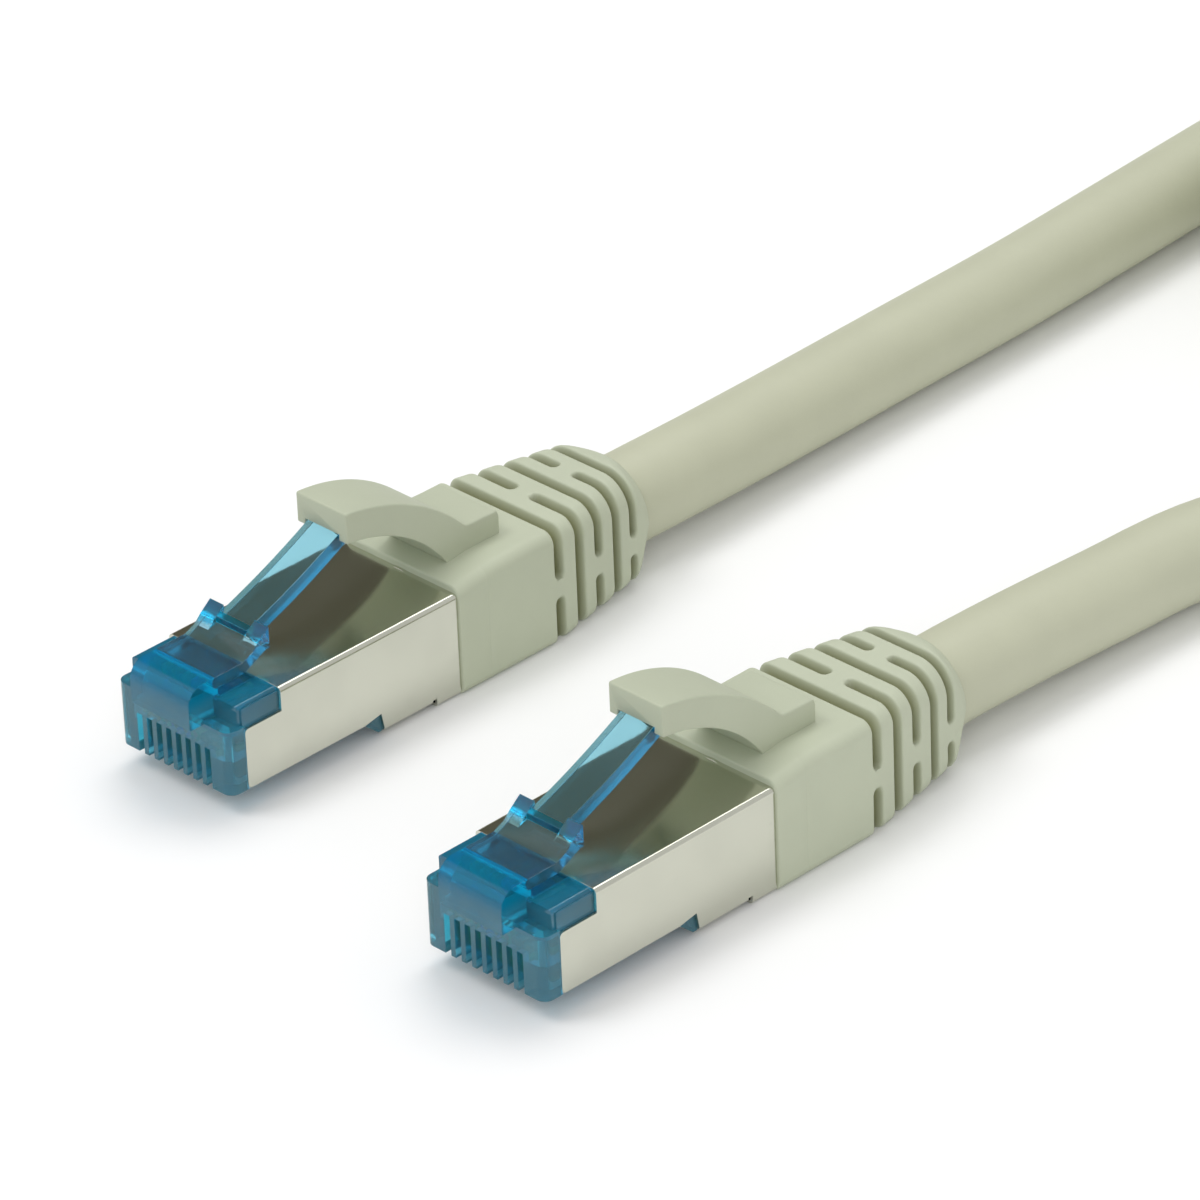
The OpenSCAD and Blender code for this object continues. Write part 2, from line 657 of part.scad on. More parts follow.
// Outline of the wound turns across the coil, grown by d
module coil_section(d) union() {
  translate([coil_r - cable_d/2, coil_z + cable_r]) circle(cable_r + d);
  translate([coil_r + cable_d/2, coil_z + cable_r]) circle(cable_r + d);
  translate([coil_r, top_lane_z]) circle(cable_r + d);
  translate([coil_r - cable_d/2, coil_z - d]) square([cable_d, cable_d + 2*d]);
  for (s = [-1, 1]) translate([coil_r + s*cable_d/2, coil_z + cable_r])
    rotate(s > 0 ? 120 : 60) translate([0, s > 0 ? -cable_r - d : 0])
      square([cable_d, cable_r + d]);
}

module cable_coil() color([0.7, 0.71, 0.63])
  translate([coil_c[0], coil_c[1], 0]) rotate_extrude($fn = 128) coil_section(0);

module coil_tie() color([0.12, 0.12, 0.13])
  translate([coil_c[0], coil_c[1], 0])
    rotate(tie_turn) rotate_extrude(angle = tie_w/coil_r*180/PI, $fn = 128) difference() {
      coil_section(tie_fit + tie_t);
      coil_section(tie_fit);
    }

// ---------------------------------------------------------------- nodes

end_a() housing();  // housing_a
end_a() latch();  // latch_a
end_a() contacts();  // contacts_a
end_a() load_bar();  // load_bar_a
end_a() shell();  // shell_a
end_a() wires_orange();  // wires_orange_a
end_a() wires_green();  // wires_green_a
end_a() wires_blue();  // wires_blue_a
end_a() wires_brown();  // wires_brown_a
end_a() conductors();  // conductors_a
end_a() pair_foils();  // pair_foils_a
end_a() braid();  // braid_a
end_a() jacket();  // jacket_a
end_a() boot();  // boot_a
end_a() hood();  // hood_a
end_b() housing();  // housing_b
end_b() latch();  // latch_b
end_b() contacts();  // contacts_b
end_b() load_bar();  // load_bar_b
end_b() shell();  // shell_b
end_b() wires_orange();  // wires_orange_b
end_b() wires_green();  // wires_green_b
end_b() wires_blue();  // wires_blue_b
end_b() wires_brown();  // wires_brown_b
end_b() conductors();  // conductors_b
end_b() pair_foils();  // pair_foils_b
end_b() braid();  // braid_b
end_b() jacket();  // jacket_b
end_b() boot();  // boot_b
end_b() hood();  // hood_b
cable_lead_a();
cable_coil();
cable_lead_b();
coil_tie();
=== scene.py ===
import logging
import math
from dataclasses import dataclass, field
from enum import Enum, IntEnum
from functools import cached_property
from typing import Any, Callable, Optional, Sequence, Union

import bmesh
import bpy
from mathutils import Matrix, Vector


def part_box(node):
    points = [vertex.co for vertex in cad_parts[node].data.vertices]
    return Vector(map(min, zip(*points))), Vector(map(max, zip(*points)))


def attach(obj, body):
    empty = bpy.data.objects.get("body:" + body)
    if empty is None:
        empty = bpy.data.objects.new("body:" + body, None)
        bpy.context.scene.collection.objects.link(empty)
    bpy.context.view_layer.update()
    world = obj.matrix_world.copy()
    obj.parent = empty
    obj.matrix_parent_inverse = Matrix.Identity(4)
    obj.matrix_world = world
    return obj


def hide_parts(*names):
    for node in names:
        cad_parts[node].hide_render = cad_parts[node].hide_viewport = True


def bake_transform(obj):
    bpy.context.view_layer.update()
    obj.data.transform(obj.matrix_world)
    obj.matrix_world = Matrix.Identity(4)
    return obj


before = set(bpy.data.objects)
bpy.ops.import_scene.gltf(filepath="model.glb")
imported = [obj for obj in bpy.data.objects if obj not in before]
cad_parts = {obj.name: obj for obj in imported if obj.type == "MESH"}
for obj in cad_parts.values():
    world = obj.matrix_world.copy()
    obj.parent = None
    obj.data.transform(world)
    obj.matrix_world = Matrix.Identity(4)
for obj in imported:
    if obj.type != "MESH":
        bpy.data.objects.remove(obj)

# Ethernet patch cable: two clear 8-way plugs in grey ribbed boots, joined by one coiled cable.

LOG = logging.getLogger("patch_cable")
MM = 0.001
PLASTIC_IOR = 1.5
# Corners of a node's mesh, of a rolled body and of a cut that are merged, in metres.
NODE_GAP, ROLL_GAP, CUT_GAP = 1e-6, 2e-7, 1e-7
# Faces of a node that lean less than this lie in one plane.
FLAT_DEG = 0.6
# A low and a high limit, a scene-linear colour, and a place along X, Y and Z.
Band = tuple[float, float]
Colour = tuple[float, float, float]
Point = tuple[float, float, float]


def srgb(red: int, green: int, blue: int) -> Colour:
    """Turns a colour given in 0 to 255 display steps into scene-linear values.

    Args:
        red: Red step.
        green: Green step.
        blue: Blue step.

    Returns:
        The three linear values.
    """
    def linear(step: int) -> float:
        """One channel, from display to linear."""
        c = step / 255
        return c / 12.92 if c <= 0.04045 else ((c + 0.055) / 1.055) ** 2.4
    return linear(red), linear(green), linear(blue)


def smoothstep(low: float, high: float, x: float) -> float:
    """A soft step from 0 at low to 1 at high."""
    t = min(1.0, max(0.0, (x - low) / (high - low)))
    return t * t * (3 - 2 * t)


def mix(a: float, b: float, t: float) -> float:
    """The value a share t of the way from a to b."""
    return a + (b - a) * t


def toned(colour: Colour, factor: float) -> Colour:
    """A colour made darker or lighter by a factor."""
    return tuple(min(1.0, c * factor) for c in colour)


def arc_steps(steps: int) -> list[float]:
    """Places from 0 to 1 that turn a square end into a quarter round."""
    return [1 - math.cos(k * math.pi / (2 * steps)) for k in range(steps + 1)]


def round_drop(r: float, inwards: float) -> float:
    """How far a rounding of radius r draws in at a place, inwards from its end."""
    return r - math.sqrt(max(0.0, r * r - max(0.0, r - inwards) ** 2))


# ------------------------------------------------------------------ shading


class Val:
    """One socket of a material's tree, with the arithmetic that finishes need."""

    def __init__(self, paint: "Paint", socket: bpy.types.NodeSocket) -> None:
        """Keeps the socket and the tree that it belongs to."""
        self.paint = paint
        self.socket = socket

    def _math(self, operation: str, a: Any, b: Any) -> "Val":
        """Adds one Math node.

        Args:
            operation: The node's operation.
            a: First value or number.
            b: Second value or number.

        Returns:
            The node's result.
        """
        return self.paint.node("ShaderNodeMath", {"operation": operation}, {0: a, 1: b})

    def __add__(self, other: Any) -> "Val":
        """self + other."""
        return self._math("ADD", self, other)

    def __radd__(self, other: Any) -> "Val":
        """other + self."""
        return self._math("ADD", other, self)

    def __sub__(self, other: Any) -> "Val":
        """self - other."""
        return self._math("SUBTRACT", self, other)

    def __rsub__(self, other: Any) -> "Val":
        """other - self."""
        return self._math("SUBTRACT", other, self)

    def __mul__(self, other: Any) -> "Val":
        """self * other."""
        return self._math("MULTIPLY", self, other)

    def __rmul__(self, other: Any) -> "Val":
        """other * self."""
        return self._math("MULTIPLY", other, self)

    def between(self, low: float, high: float) -> "Val":
        """A soft step from 0 at low to 1 at high."""
        return self.paint.node(
            "ShaderNodeMapRange", {"interpolation_type": "SMOOTHSTEP"},
            {"Value": self, "From Min": low, "From Max": high})


class Paint:
    """Builds the node tree of one material, or of the surroundings."""

    def __init__(self, owner: Union[bpy.types.Material, bpy.types.World]) -> None:
        """Empties the owner's tree.

        Args:
            owner: The material, or the surroundings, that the tree belongs to.
        """
        self.owner = owner
        owner.use_nodes = True
        self.tree = owner.node_tree
        self.tree.nodes.clear()

    @cached_property
    def coords(self) -> "Val":
        """Places in the object's own frame."""
        return self.node("ShaderNodeTexCoord", out="Object")

    def node(self, kind: str, settings: Optional[dict[str, Any]] = None,
             inputs: Optional[dict[Any, Any]] = None, out: Union[int, str] = 0) -> Val:
        """Adds any node.

        Args:
            kind: The node's type.
            settings: Attributes to set first.
            inputs: Socket names or numbers, with a number, a colour or a value.
            out: Name or number of the result that is wanted.

        Returns:
            That result.
        """
        node = self.tree.nodes.new(kind)
        for key, value in (settings or {}).items():
            setattr(node, key, value)
        for key, value in (inputs or {}).items():
            socket = node.inputs[key]
            if isinstance(value, Val):
                self.tree.links.new(value.socket, socket)
            elif isinstance(value, tuple) and len(value) == 3 and socket.type == "RGBA":
                socket.default_value = (*value, 1.0)
            else:
                socket.default_value = value
        return Val(self, node.outputs[out])

    def noise(self, size_mm: float, detail: float = 2.0, stretch: Point = (1, 1, 1),
              rough: float = 0.5) -> Val:
        """Soft noise, from about 0 to 1.

        Args:
            size_mm: Size of its features.
            detail: Number of finer layers.
            stretch: How much closer together they lie along X, Y and Z.
            rough: Weight of the finer layers.

        Returns:
            The noise value.
        """
        place = self.node("ShaderNodeMapping", {}, {"Vector": self.coords, "Scale": stretch})
        return self.node("ShaderNodeTexNoise", {},
                         {"Vector": place, "Scale": 1 / (size_mm * MM), "Detail": detail,
                          "Roughness": rough})

    def blend(self, a: Any, b: Any, share: Any) -> Val:
        """A colour a share of the way from a to b."""
        return self.node("ShaderNodeMix", {"data_type": "RGBA"}, {0: share, 6: a, 7: b}, out=2)

    def attribute(self, name: str) -> Val:
        """A value stored on the mesh's points or faces."""
        return self.node("ShaderNodeAttribute", {"attribute_name": name}, out="Fac")

    def bump(self, height: Val, depth_mm: float) -> Val:
        """Turns a height into a normal."""
        return self.node("ShaderNodeBump", {}, {"Height": height, "Distance": depth_mm * MM,
                                                "Strength": 1.0})

    def ray(self, kind: str) -> Val:
        """Whether the ray that looks here is of that kind, as 0 or 1."""
        return self.node("ShaderNodeLightPath", out=f"Is {kind} Ray")

    def close(self, inside: Optional[Val] = None, **sockets: Any) -> bpy.types.Material:
        """Ends the tree in a Principled shader.

        Args:
            inside: A volume shader for what lies under the surface.
            **sockets: Socket names with underscores for spaces, and their values.

        Returns:
            The finished material.
        """
        shader = self.node("ShaderNodeBsdfPrincipled", {},
                           {k.replace("_", " "): v for k, v in sockets.items()}, out="BSDF")
        ends = {"Surface": shader} if inside is None else {"Surface": shader, "Volume": inside}
        self.end("ShaderNodeOutputMaterial", **ends)
        return self.owner

    def end(self, kind: str, **shaders: Val) -> None:
        """Adds the output node and links shaders to its sockets.

        Args:
            kind: The output node's type.
            **shaders: Its sockets, and the shader for each.
        """
        out = self.tree.nodes.new(kind)
        for name, shader in shaders.items():
            self.tree.links.new(shader.socket, out.inputs[name])


# In every finish a name ends in what its number is: _mm a feature's size, _band the stretch
# of its noise that shows, _tone how dark or light it is, and _share how much of it is mixed in.


@dataclass(frozen=True)
class SoftMoulding:
    """Grey flexible plastic of the boots, hoods and jacket."""

    name: str
    colour: Colour
    # deep: painted shade, the darker olive colour laid into the grooves in place of the shade
    # that falls in them
    deep: Colour
    rough: float = 0.5
    rough_spread: float = 0.12
    gloss: float = 0.4
    grain_mm: float = 0.35
    grain_depth_mm: float = 0.006
    cloud_mm: float = 5.0
    cloud_band: Band = (0.3, 0.7)
    cloud_tone: float = 0.97
    speck_mm: float = 0.12
    speck_band: Band = (0.62, 0.78)
    speck_tone: float = 0.8
    speck_share: float = 0.12

    def material(self) -> bpy.types.Material:
        """Builds the material.

        Returns:
            Grey plastic with a fine grain, faint clouding and painted shade in its grooves, a
            darker olive where they are deeper.
        """
        p = Paint(bpy.data.materials.new(self.name))
        cloud = p.noise(self.cloud_mm, detail=3.0).between(*self.cloud_band)
        speck = p.noise(self.speck_mm, detail=1.0).between(*self.speck_band)
        base = p.blend(self.colour, toned(self.colour, self.cloud_tone), cloud)
        base = p.blend(base, toned(self.colour, self.speck_tone), speck * self.speck_share)
        # Painted shade: the stored groove depth blends the colour towards deep, darkest at the
        # groove bottoms.
        base = p.blend(base, self.deep, p.attribute("depth"))
        grain = p.noise(self.grain_mm, detail=3.0)
        return p.close(Base_Color=base, Roughness=self.rough + grain * self.rough_spread,
                       IOR=PLASTIC_IOR, Specular_IOR_Level=self.gloss,
                       Normal=p.bump(grain, self.grain_depth_mm))


@dataclass(frozen=True)
class ClearPlastic:
    """Tinted clear plastic of the plug body, latch and load bar."""

    name: str
    # low and high: painted light, the base colour paler low down and deeper blue high up across
    # rise_mm, in place of the floor's pale reflection on the lower nose and the deep blue of
    # light through the thick top
    low: Colour
    high: Colour
    body: Colour
    density: float
    clear: float = 0.92
    rough: float = 0.04
    rough_spread: float = 0.04
    rise_mm: Band = (7.4, 8.9)
    # edge: painted glow, the saturated blue laid on faces that store painted light, where light
    # gathers in the clear plastic
    edge: Colour = (0.0, 0.46, 0.72)
    edge_rough: float = 0.22
    flow_mm: float = 1.6
    flow_stretch: Point = (0.5, 1, 1)
    flow_band: Band = (0.35, 0.7)
    flow_tone: float = 0.8
    flow_share: float = 0.25
    flow_depth_mm: float = 0.006

    def material(self) -> bpy.types.Material:
        """Builds the material.

        Returns:
            Clear plastic with faint flow marks, its colour painted paler low down and deeper
            high up, and a saturated blue glow painted where a mesh stores painted light, at
            narrow faces that gather the light.
        """
        p = Paint(bpy.data.materials.new(self.name))
        flow = p.noise(self.flow_mm, detail=3.0, stretch=self.flow_stretch)
        # Painted light: the colour runs from low to high with height alone.
        height = p.node("ShaderNodeSeparateXYZ", {}, {0: p.coords}, out="Z")
        base = p.blend(self.low, self.high, height.between(*(z * MM for z in self.rise_mm)))
        streak = flow.between(*self.flow_band) * self.flow_share
        base = p.blend(base, toned(self.high, self.flow_tone), streak)
        # Painted light: faces that gather the light are painted the saturated blue of edge, and
        # made rougher.
        painted_light = p.attribute("painted_light")
        base = p.blend(base, self.edge, painted_light)
        inside = p.node("ShaderNodeVolumeAbsorption", {},
                        {"Color": self.body, "Density": self.density})
        rough = self.rough + flow * self.rough_spread + painted_light * self.edge_rough
        return p.close(inside, Base_Color=base, Roughness=rough, IOR=PLASTIC_IOR,
                       Transmission_Weight=self.clear,
                       Normal=p.bump(flow, self.flow_depth_mm))


@dataclass(frozen=True)
class Metal:
    """Sheet, wire or plated metal."""

    name: str
    colour: Colour
    rough: float = 0.3
    mottle_mm: float = 2.0
    mottle_band: Band = (0.35, 0.75)
    mottle_tone: float = 0.9
    mottle_share: float = 0.4
    mottle_rough: float = 0.03
    stain_mm: float = 0.6
    stain_band: Band = (0.7, 0.78)
    stain_tone: float = 0.55
    stain_share: float = 0.12
    scratch_mm: float = 0.5
    scratch_stretch: Point = (0.15, 2.0, 2.0)
    scratch_band: Band = (0.7, 0.76)
    scratch_rough: float = 0.05
    wave_mm: float = 0.8
    bump_mm: float = 0.002

    def material(self) -> bpy.types.Material:
        """Builds the material.

        Returns:
            Metal with clouded gloss, small stains and fine scratches.
        """
        p = Paint(bpy.data.materials.new(self.name))
        mottle = p.noise(self.mottle_mm, detail=4.0).between(*self.mottle_band)
        stain = p.noise(self.stain_mm).between(*self.stain_band)
        scratch = p.noise(self.scratch_mm, stretch=self.scratch_stretch)
        scratch = scratch.between(*self.scratch_band)
        base = p.blend(self.colour, toned(self.colour, self.mottle_tone),
                       mottle * self.mottle_share)
        base = p.blend(base, toned(self.colour, self.stain_tone), stain * self.stain_share)
        rough = self.rough + mottle * self.mottle_rough + scratch * self.scratch_rough
        return p.close(Base_Color=base, Metallic=1.0, Roughness=rough,
                       Normal=p.bump(p.noise(self.wave_mm, detail=3.0), self.bump_mm))


# ------------------------------------------------------------------ pieces


class Bench:
    """Makes finished pieces out of meshes, and builds each finish once."""

    def __init__(self) -> None:
        """Starts with no finishes built."""
        self.finishes: dict[str, bpy.types.Material] = {}

    def finish(self, maker: Any) -> bpy.types.Material:
        """The material of a finish, built once.

        Args:
            maker: The finish.

        Returns:
            Its material.
        """
        if maker.name not in self.finishes:
            self.finishes[maker.name] = maker.material()
        return self.finishes[maker.name]

    def dress(self, node: str, maker: Any) -> None:
        """Gives a carried-over node its finish.

        Args:
            node: The node's name.
            maker: The finish.
        """
        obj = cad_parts[node]
        obj.data.materials.clear()
        obj.data.materials.append(self.finish(maker))
        LOG.info("%s: carried over", node)

    def piece(self, name: str, bm: bmesh.types.BMesh, maker: Any, slot: str,
              nodes: Sequence[str] = (), smooth_deg: float = 40.0) -> bpy.types.Object:
        """Turns a bmesh into an object with its finish.

        Args:
            name: The piece's name.
            bm: The mesh; it is freed.
            maker: The finish.
            slot: The record's material slot; it is not used.
            nodes: Nodes that the piece stands for.
            smooth_deg: Edges sharper than this stay sharp.

        Returns:
            The new object, at the origin.
        """
        mesh = bpy.data.meshes.new(name)
        bm.to_mesh(mesh)
        bm.free()
        mesh.shade_smooth()
        mesh.set_sharp_from_angle(angle=math.radians(smooth_deg))
        obj = bpy.data.objects.new(name, mesh)
        bpy.context.scene.collection.objects.link(obj)
        mesh.materials.append(self.finish(maker))
        if nodes:
            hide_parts(*nodes)
        LOG.info("%s: %d faces", name, len(mesh.polygons))
        return obj

    @staticmethod
    def copy_of(node: str) -> bmesh.types.BMesh:
        """Copies a node's mesh, with its doubles merged and its flat faces whole.

        Args:
            node: The node's name.

        Returns:
            The copy.
        """
        bm = bmesh.new()
        bm.from_mesh(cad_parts[node].data)
        bmesh.ops.remove_doubles(bm, verts=bm.verts, dist=NODE_GAP)
        bmesh.ops.dissolve_limit(bm, angle_limit=math.radians(FLAT_DEG), verts=bm.verts,
                                 edges=bm.edges)
        return bm

    @staticmethod
    def soften(bm: bmesh.types.BMesh, width_mm: float, segments: int = 2,
               angle_deg: float = 35.0,
               keep: Optional[Callable[[Vector], bool]] = None) -> None:
        """Rounds the sharp edges of a mesh.

        Args:
            bm: The mesh to change.
            width_mm: Width of the rounding.
            segments: Steps of the rounding.
            angle_deg: Least angle of an edge that is rounded.
            keep: Says of an edge's middle whether the edge is rounded.
        """
        sharp = [e for e in bm.edges if len(e.link_faces) == 2
                 and e.calc_face_angle() > math.radians(angle_deg)
                 and (keep is None or keep((e.verts[0].co + e.verts[1].co) / 2))]
        bmesh.ops.bevel(bm, geom=sharp, offset=width_mm * MM, offset_type="OFFSET",
                        segments=segments, profile=0.5, affect="EDGES", clamp_overlap=True,
                        material=-1)

    @staticmethod
    def roll(stations: Sequence[float], steps: Sequence[int],
             place: Callable[[float, int, float], Point], at: Vector) -> bmesh.types.BMesh:
        """Rolls a flat grid up into a closed body that runs along X, the same on both sides.

        Args:
            stations: Places along X, in millimetres.
            steps: Number of points on each stretch of the half section.
            place: Gives Y, Z and a stored depth for a station, a stretch and a share of it.
            at: Where the body's own frame lies, in millimetres.

        Returns:
            The closed mesh, with the depth stored as "depth".
        """
        half = [(part, k / n) for part, n in enumerate(steps) for k in range(n)]
        half.append((len(steps) - 1, 1.0))
        ring = [(1, *spot) for spot in half] + [(-1, *spot) for spot in reversed(half[1:-1])]
        turn, rows = len(ring), len(stations) - 1
        bm = bmesh.new()
        layer = bm.verts.layers.float.new("depth")
        bmesh.ops.create_grid(bm, x_segments=rows, y_segments=turn, size=0.5)
        for v in bm.verts:
            x = stations[round((v.co.x + 0.5) * rows)]
            side, part, t = ring[round((v.co.y + 0.5) * turn) % turn]
            y, z, v[layer] = place(x, part, t)
            v.co = Vector((at.x + x, at.y + side * y, z)) * MM
        bmesh.ops.remove_doubles(bm, verts=bm.verts, dist=ROLL_GAP)
        bmesh.ops.holes_fill(bm, edges=[e for e in bm.edges if e.is_boundary], sides=0)
        bmesh.ops.recalc_face_normals(bm, faces=bm.faces)
        return bm


class Stretch(IntEnum):
    """Stretches of a half section of the boot or the hood, from its top middle downwards."""

    TOP = 0
    CORNER = 1
    SIDE = 2
    LOW_CORNER = 3
    FOOT = 4
    WALL = 5
    ROOF = 6


@dataclass
class Section:
    """An upright rounded rectangle across the boot or the hood, in millimetres."""

    half: float
    top: float
    r_top: float
    r_foot: float
    foot: float

    def lengths(self) -> tuple[float, ...]:
        """Lengths of its five stretches."""
        return (self.half - self.r_top, self.r_top * math.pi / 2,
                self.top - self.foot - self.r_top - self.r_foot,
                self.r_foot * math.pi / 2, self.half - self.r_foot)

    def point(self, part: int, t: float) -> tuple[float, float]:
        """Finds a point on the right half.

        Args:
            part: Which of the five stretches.
            t: Share of the way along it.

        Returns:
            Its y and z.
        """
        h, rt, rf = self.half, self.r_top, self.r_foot
        turn = t * math.pi / 2
        if part == Stretch.TOP:
            return (h - rt) * t, self.top
        if part == Stretch.CORNER:
            return h - rt + rt * math.sin(turn), self.top - rt + rt * math.cos(turn)
        if part == Stretch.SIDE:
            return h, mix(self.top - rt, self.foot + rf, t)
        if part == Stretch.LOW_CORNER:
            return h - rf + rf * math.cos(turn), self.foot + rf - rf * math.sin(turn)
        return (h - rf) * (1 - t), self.foot


@dataclass
class Boot:
    """Moulded boot with its ribbed strain relief, in the plug's own frame."""

    # Box over the shell's tail, with the mould's seam across its sides.
    front: float = 22.6
    front_round: float = 0.15
    front_steps: int = 4
    front_flat: float = 1.0
    seam: float = 25.5
    seam_half: float = 0.06
    seam_side: float = 0.5
    seam_depth: float = 0.02
    slope_end: float = 26.3
    # Five rows of grooves: start and end, depth, rounded edges, and the webs between slots.
    grooves: tuple[tuple[float, float], ...] = (
        (32.25, 33.25), (34.7, 35.65), (36.95, 37.85), (39.1, 39.95), (41.1, 41.85))
    lead_in: tuple[float, float] = (2.5, 0.9)
    depth: float = 1.05
    reach: float = 0.4
    edge_round: float = 0.2
    wall: float = 0.14
    wall_steps: tuple[float, ...] = (-0.24, -0.18, -0.12, -0.07, -0.03,
                                     0.0, 0.035, 0.08, 0.14, 0.25)
    rib_step: float = 0.65
    web: float = 1.7
    side_web: tuple[float, float] = (5.35, 3.75)
    web_fall: float = 0.17
    # Height at which the lowest slots end, past the sole, and a distance beyond all others.
    sole: float = -0.4
    far: float = 9.0
    # Domed end round the cable.
    end: float = 44.0
    end_round: float = 0.8
    end_gap: float = 0.08
    end_steps: int = 16
    axis_z: float = 4.4
    rim: float = 3.63
    hair: float = 0.002
    # Outer section: half width, height and roundings, from the relief's start to its end.
    half: float = 6.1
    half_end: float = 4.85
    top: float = 9.4
    top_front: float = 8.9
    r_top: tuple[float, float] = (1.0, 2.7)
    r_foot: tuple[float, float] = (0.7, 1.6)
    foot_rise: float = 0.2
    foot_band: Band = (0.1, 1.0)
    # Core under the grooves: how much sharper its roundings are, and the least of each.
    core_ease: float = 0.75
    core_top: float = 0.35
    core_foot: float = 0.2
    # Number of points on each stretch of the half section.
    steps: tuple[int, ...] = (32, 12, 40, 4, 12)

    @property
    def relief(self) -> float:
        """Where the first groove starts."""
        return self.grooves[0][0]

    @property
    def tail(self) -> float:
        """Where the last groove ends."""
        return self.grooves[-1][1]

    def section(self, x: float) -> Section:
        """Finds the outer section, without its grooves.

        Args:
            x: Place along the boot.

        Returns:
            The section there.
        """
        t = min(1.0, max(0.0, (x - self.relief) / (self.tail - self.relief)))
        slope = min(1.0, max(0.0, (x - self.front) / (self.slope_end - self.front)))
        s = Section(mix(self.half, self.half_end, t), mix(self.top_front, self.top, slope),
                    mix(*self.r_top, t), mix(*self.r_foot, t),
                    self.foot_rise * smoothstep(*self.foot_band, t))
        inset = round_drop(self.front_round, x - self.front)
        s.half -= inset
        s.top -= inset
        if abs(x - self.seam) < self.seam_half / 2:
            s.half -= self.seam_depth
        if x > self.tail:
            u = (x - self.tail) / (self.end - self.tail)
            k = 1 - math.sqrt(max(0.0, 1 - u * u))
            s.half = mix(s.half, self.rim, k)
            s.top = mix(s.top, self.axis_z + self.rim, k)
            s.foot = mix(s.foot, self.axis_z - self.rim, k)
            r = min(s.half, (s.top - s.foot) / 2) - self.hair
            s.r_top = mix(s.r_top, r, smoothstep(0, self.end_round, u))
            s.r_foot = mix(s.r_foot, r, smoothstep(0, self.end_round, u))
        return s

    def slots(self, i: int) -> list[tuple[float, float]]:
        """Finds the stretches of a groove on the right half.

        Args:
            i: The groove's number, from the front.

        Returns:
            Start and end of each, as distances from the top middle along the section.
        """
        s = self.section(sum(self.grooves[i]) / 2)
        side = s.half - s.r_top + s.r_top * math.pi / 2 + s.top - s.r_top
        if i % 2:
            return [(self.web / 2, side - self.sole)]
        high, low = (z - self.web_fall * i for z in self.side_web)
        return [(-self.far, side - high), (side - low, side - self.sole)]

    def sunk(self, x: float, along: float) -> float:
        """Finds the depth of the grooves at a point, from 0 to 1.

        Args:
            x: Place along the boot.
            along: Distance from the top middle along the section.

        Returns:
            The share of the full depth.
        """
        near = self.far
        for i, (start, end) in enumerate(self.grooves):
            middle, r = (start + end) / 2, (end - start) / 2
            if abs(x - middle) > 2 * r:
                continue
            for low, high in self.slots(i):
                beyond = max(low + r - along, 0.0, along - high + r)
                near = min(near, math.hypot(x - middle, beyond) - r)
        r, edge = self.edge_round, self.edge_round / self.depth
        if near >= r:
            return 0.0
        if near >= 0:
            return edge * (1 - math.sqrt(max(0.0, 1 - (1 - near / r) ** 2)))
        return mix(edge, 1.0, smoothstep(0.0, self.wall, -near))

    def stations(self) -> list[float]:
        """Sets the places along X where the section is made.

        Returns:
            The places, closest together at the grooves' walls and on the domed end.
        """
        xs = [self.front + self.front_round * k for k in arc_steps(self.front_steps)]
        xs += [self.front + self.front_flat, self.seam - self.seam_side,
               self.seam - self.seam_half, self.seam, self.seam + self.seam_half,
               self.slope_end, *(self.relief - d for d in self.lead_in)]
        for start, end in self.grooves:
            xs += [start + d for d in self.wall_steps]
            xs.append((start + end) / 2)
            xs += [end - d for d in reversed(self.wall_steps)]
            xs.append(end + self.rib_step)
        start = self.tail + self.edge_round + self.end_gap
        xs = [x for x in xs if x < start]
        xs += [start + (self.end - start) * math.sin(k / self.end_steps * math.pi / 2)
               for k in range(self.end_steps + 1)]
        return xs

    def build(self, at: Vector) -> bmesh.types.BMesh:
        """Makes the boot's mesh.

        Args:
            at: Where the plug's own frame lies, in millimetres.

        Returns:
            The closed mesh, with its groove depth stored.
        """
        sections = {x: self.section(x) for x in self.stations()}
        d = self.depth

        def place(x: float, part: int, t: float) -> Point:
            """Finds a point of the section, sunk where a groove runs.

            Args:
                x: Place along the boot.
                part: Stretch of the half section.
                t: Share of the way along it.

            Returns:
                Its y, its z and the share of the groove's depth.
            """
            s = sections[x]
            lengths = s.lengths()
            y, z = s.point(part, t)
            deep = 0.0
            if self.relief - self.reach < x < self.tail + self.reach:
                deep = self.sunk(x, sum(lengths[:part]) + lengths[part] * t)
            if deep > 0:
                core = Section(s.half - d, s.top - d,
                               max(self.core_top, s.r_top - self.core_ease * d),
                               max(self.core_foot, s.r_foot - self.core_foot), s.foot)
                yc, zc = core.point(part, t)
                y, z = mix(y, yc, deep), mix(z, zc, deep)
            return y, z, deep
        return Bench.roll(list(sections), self.steps, place, at)


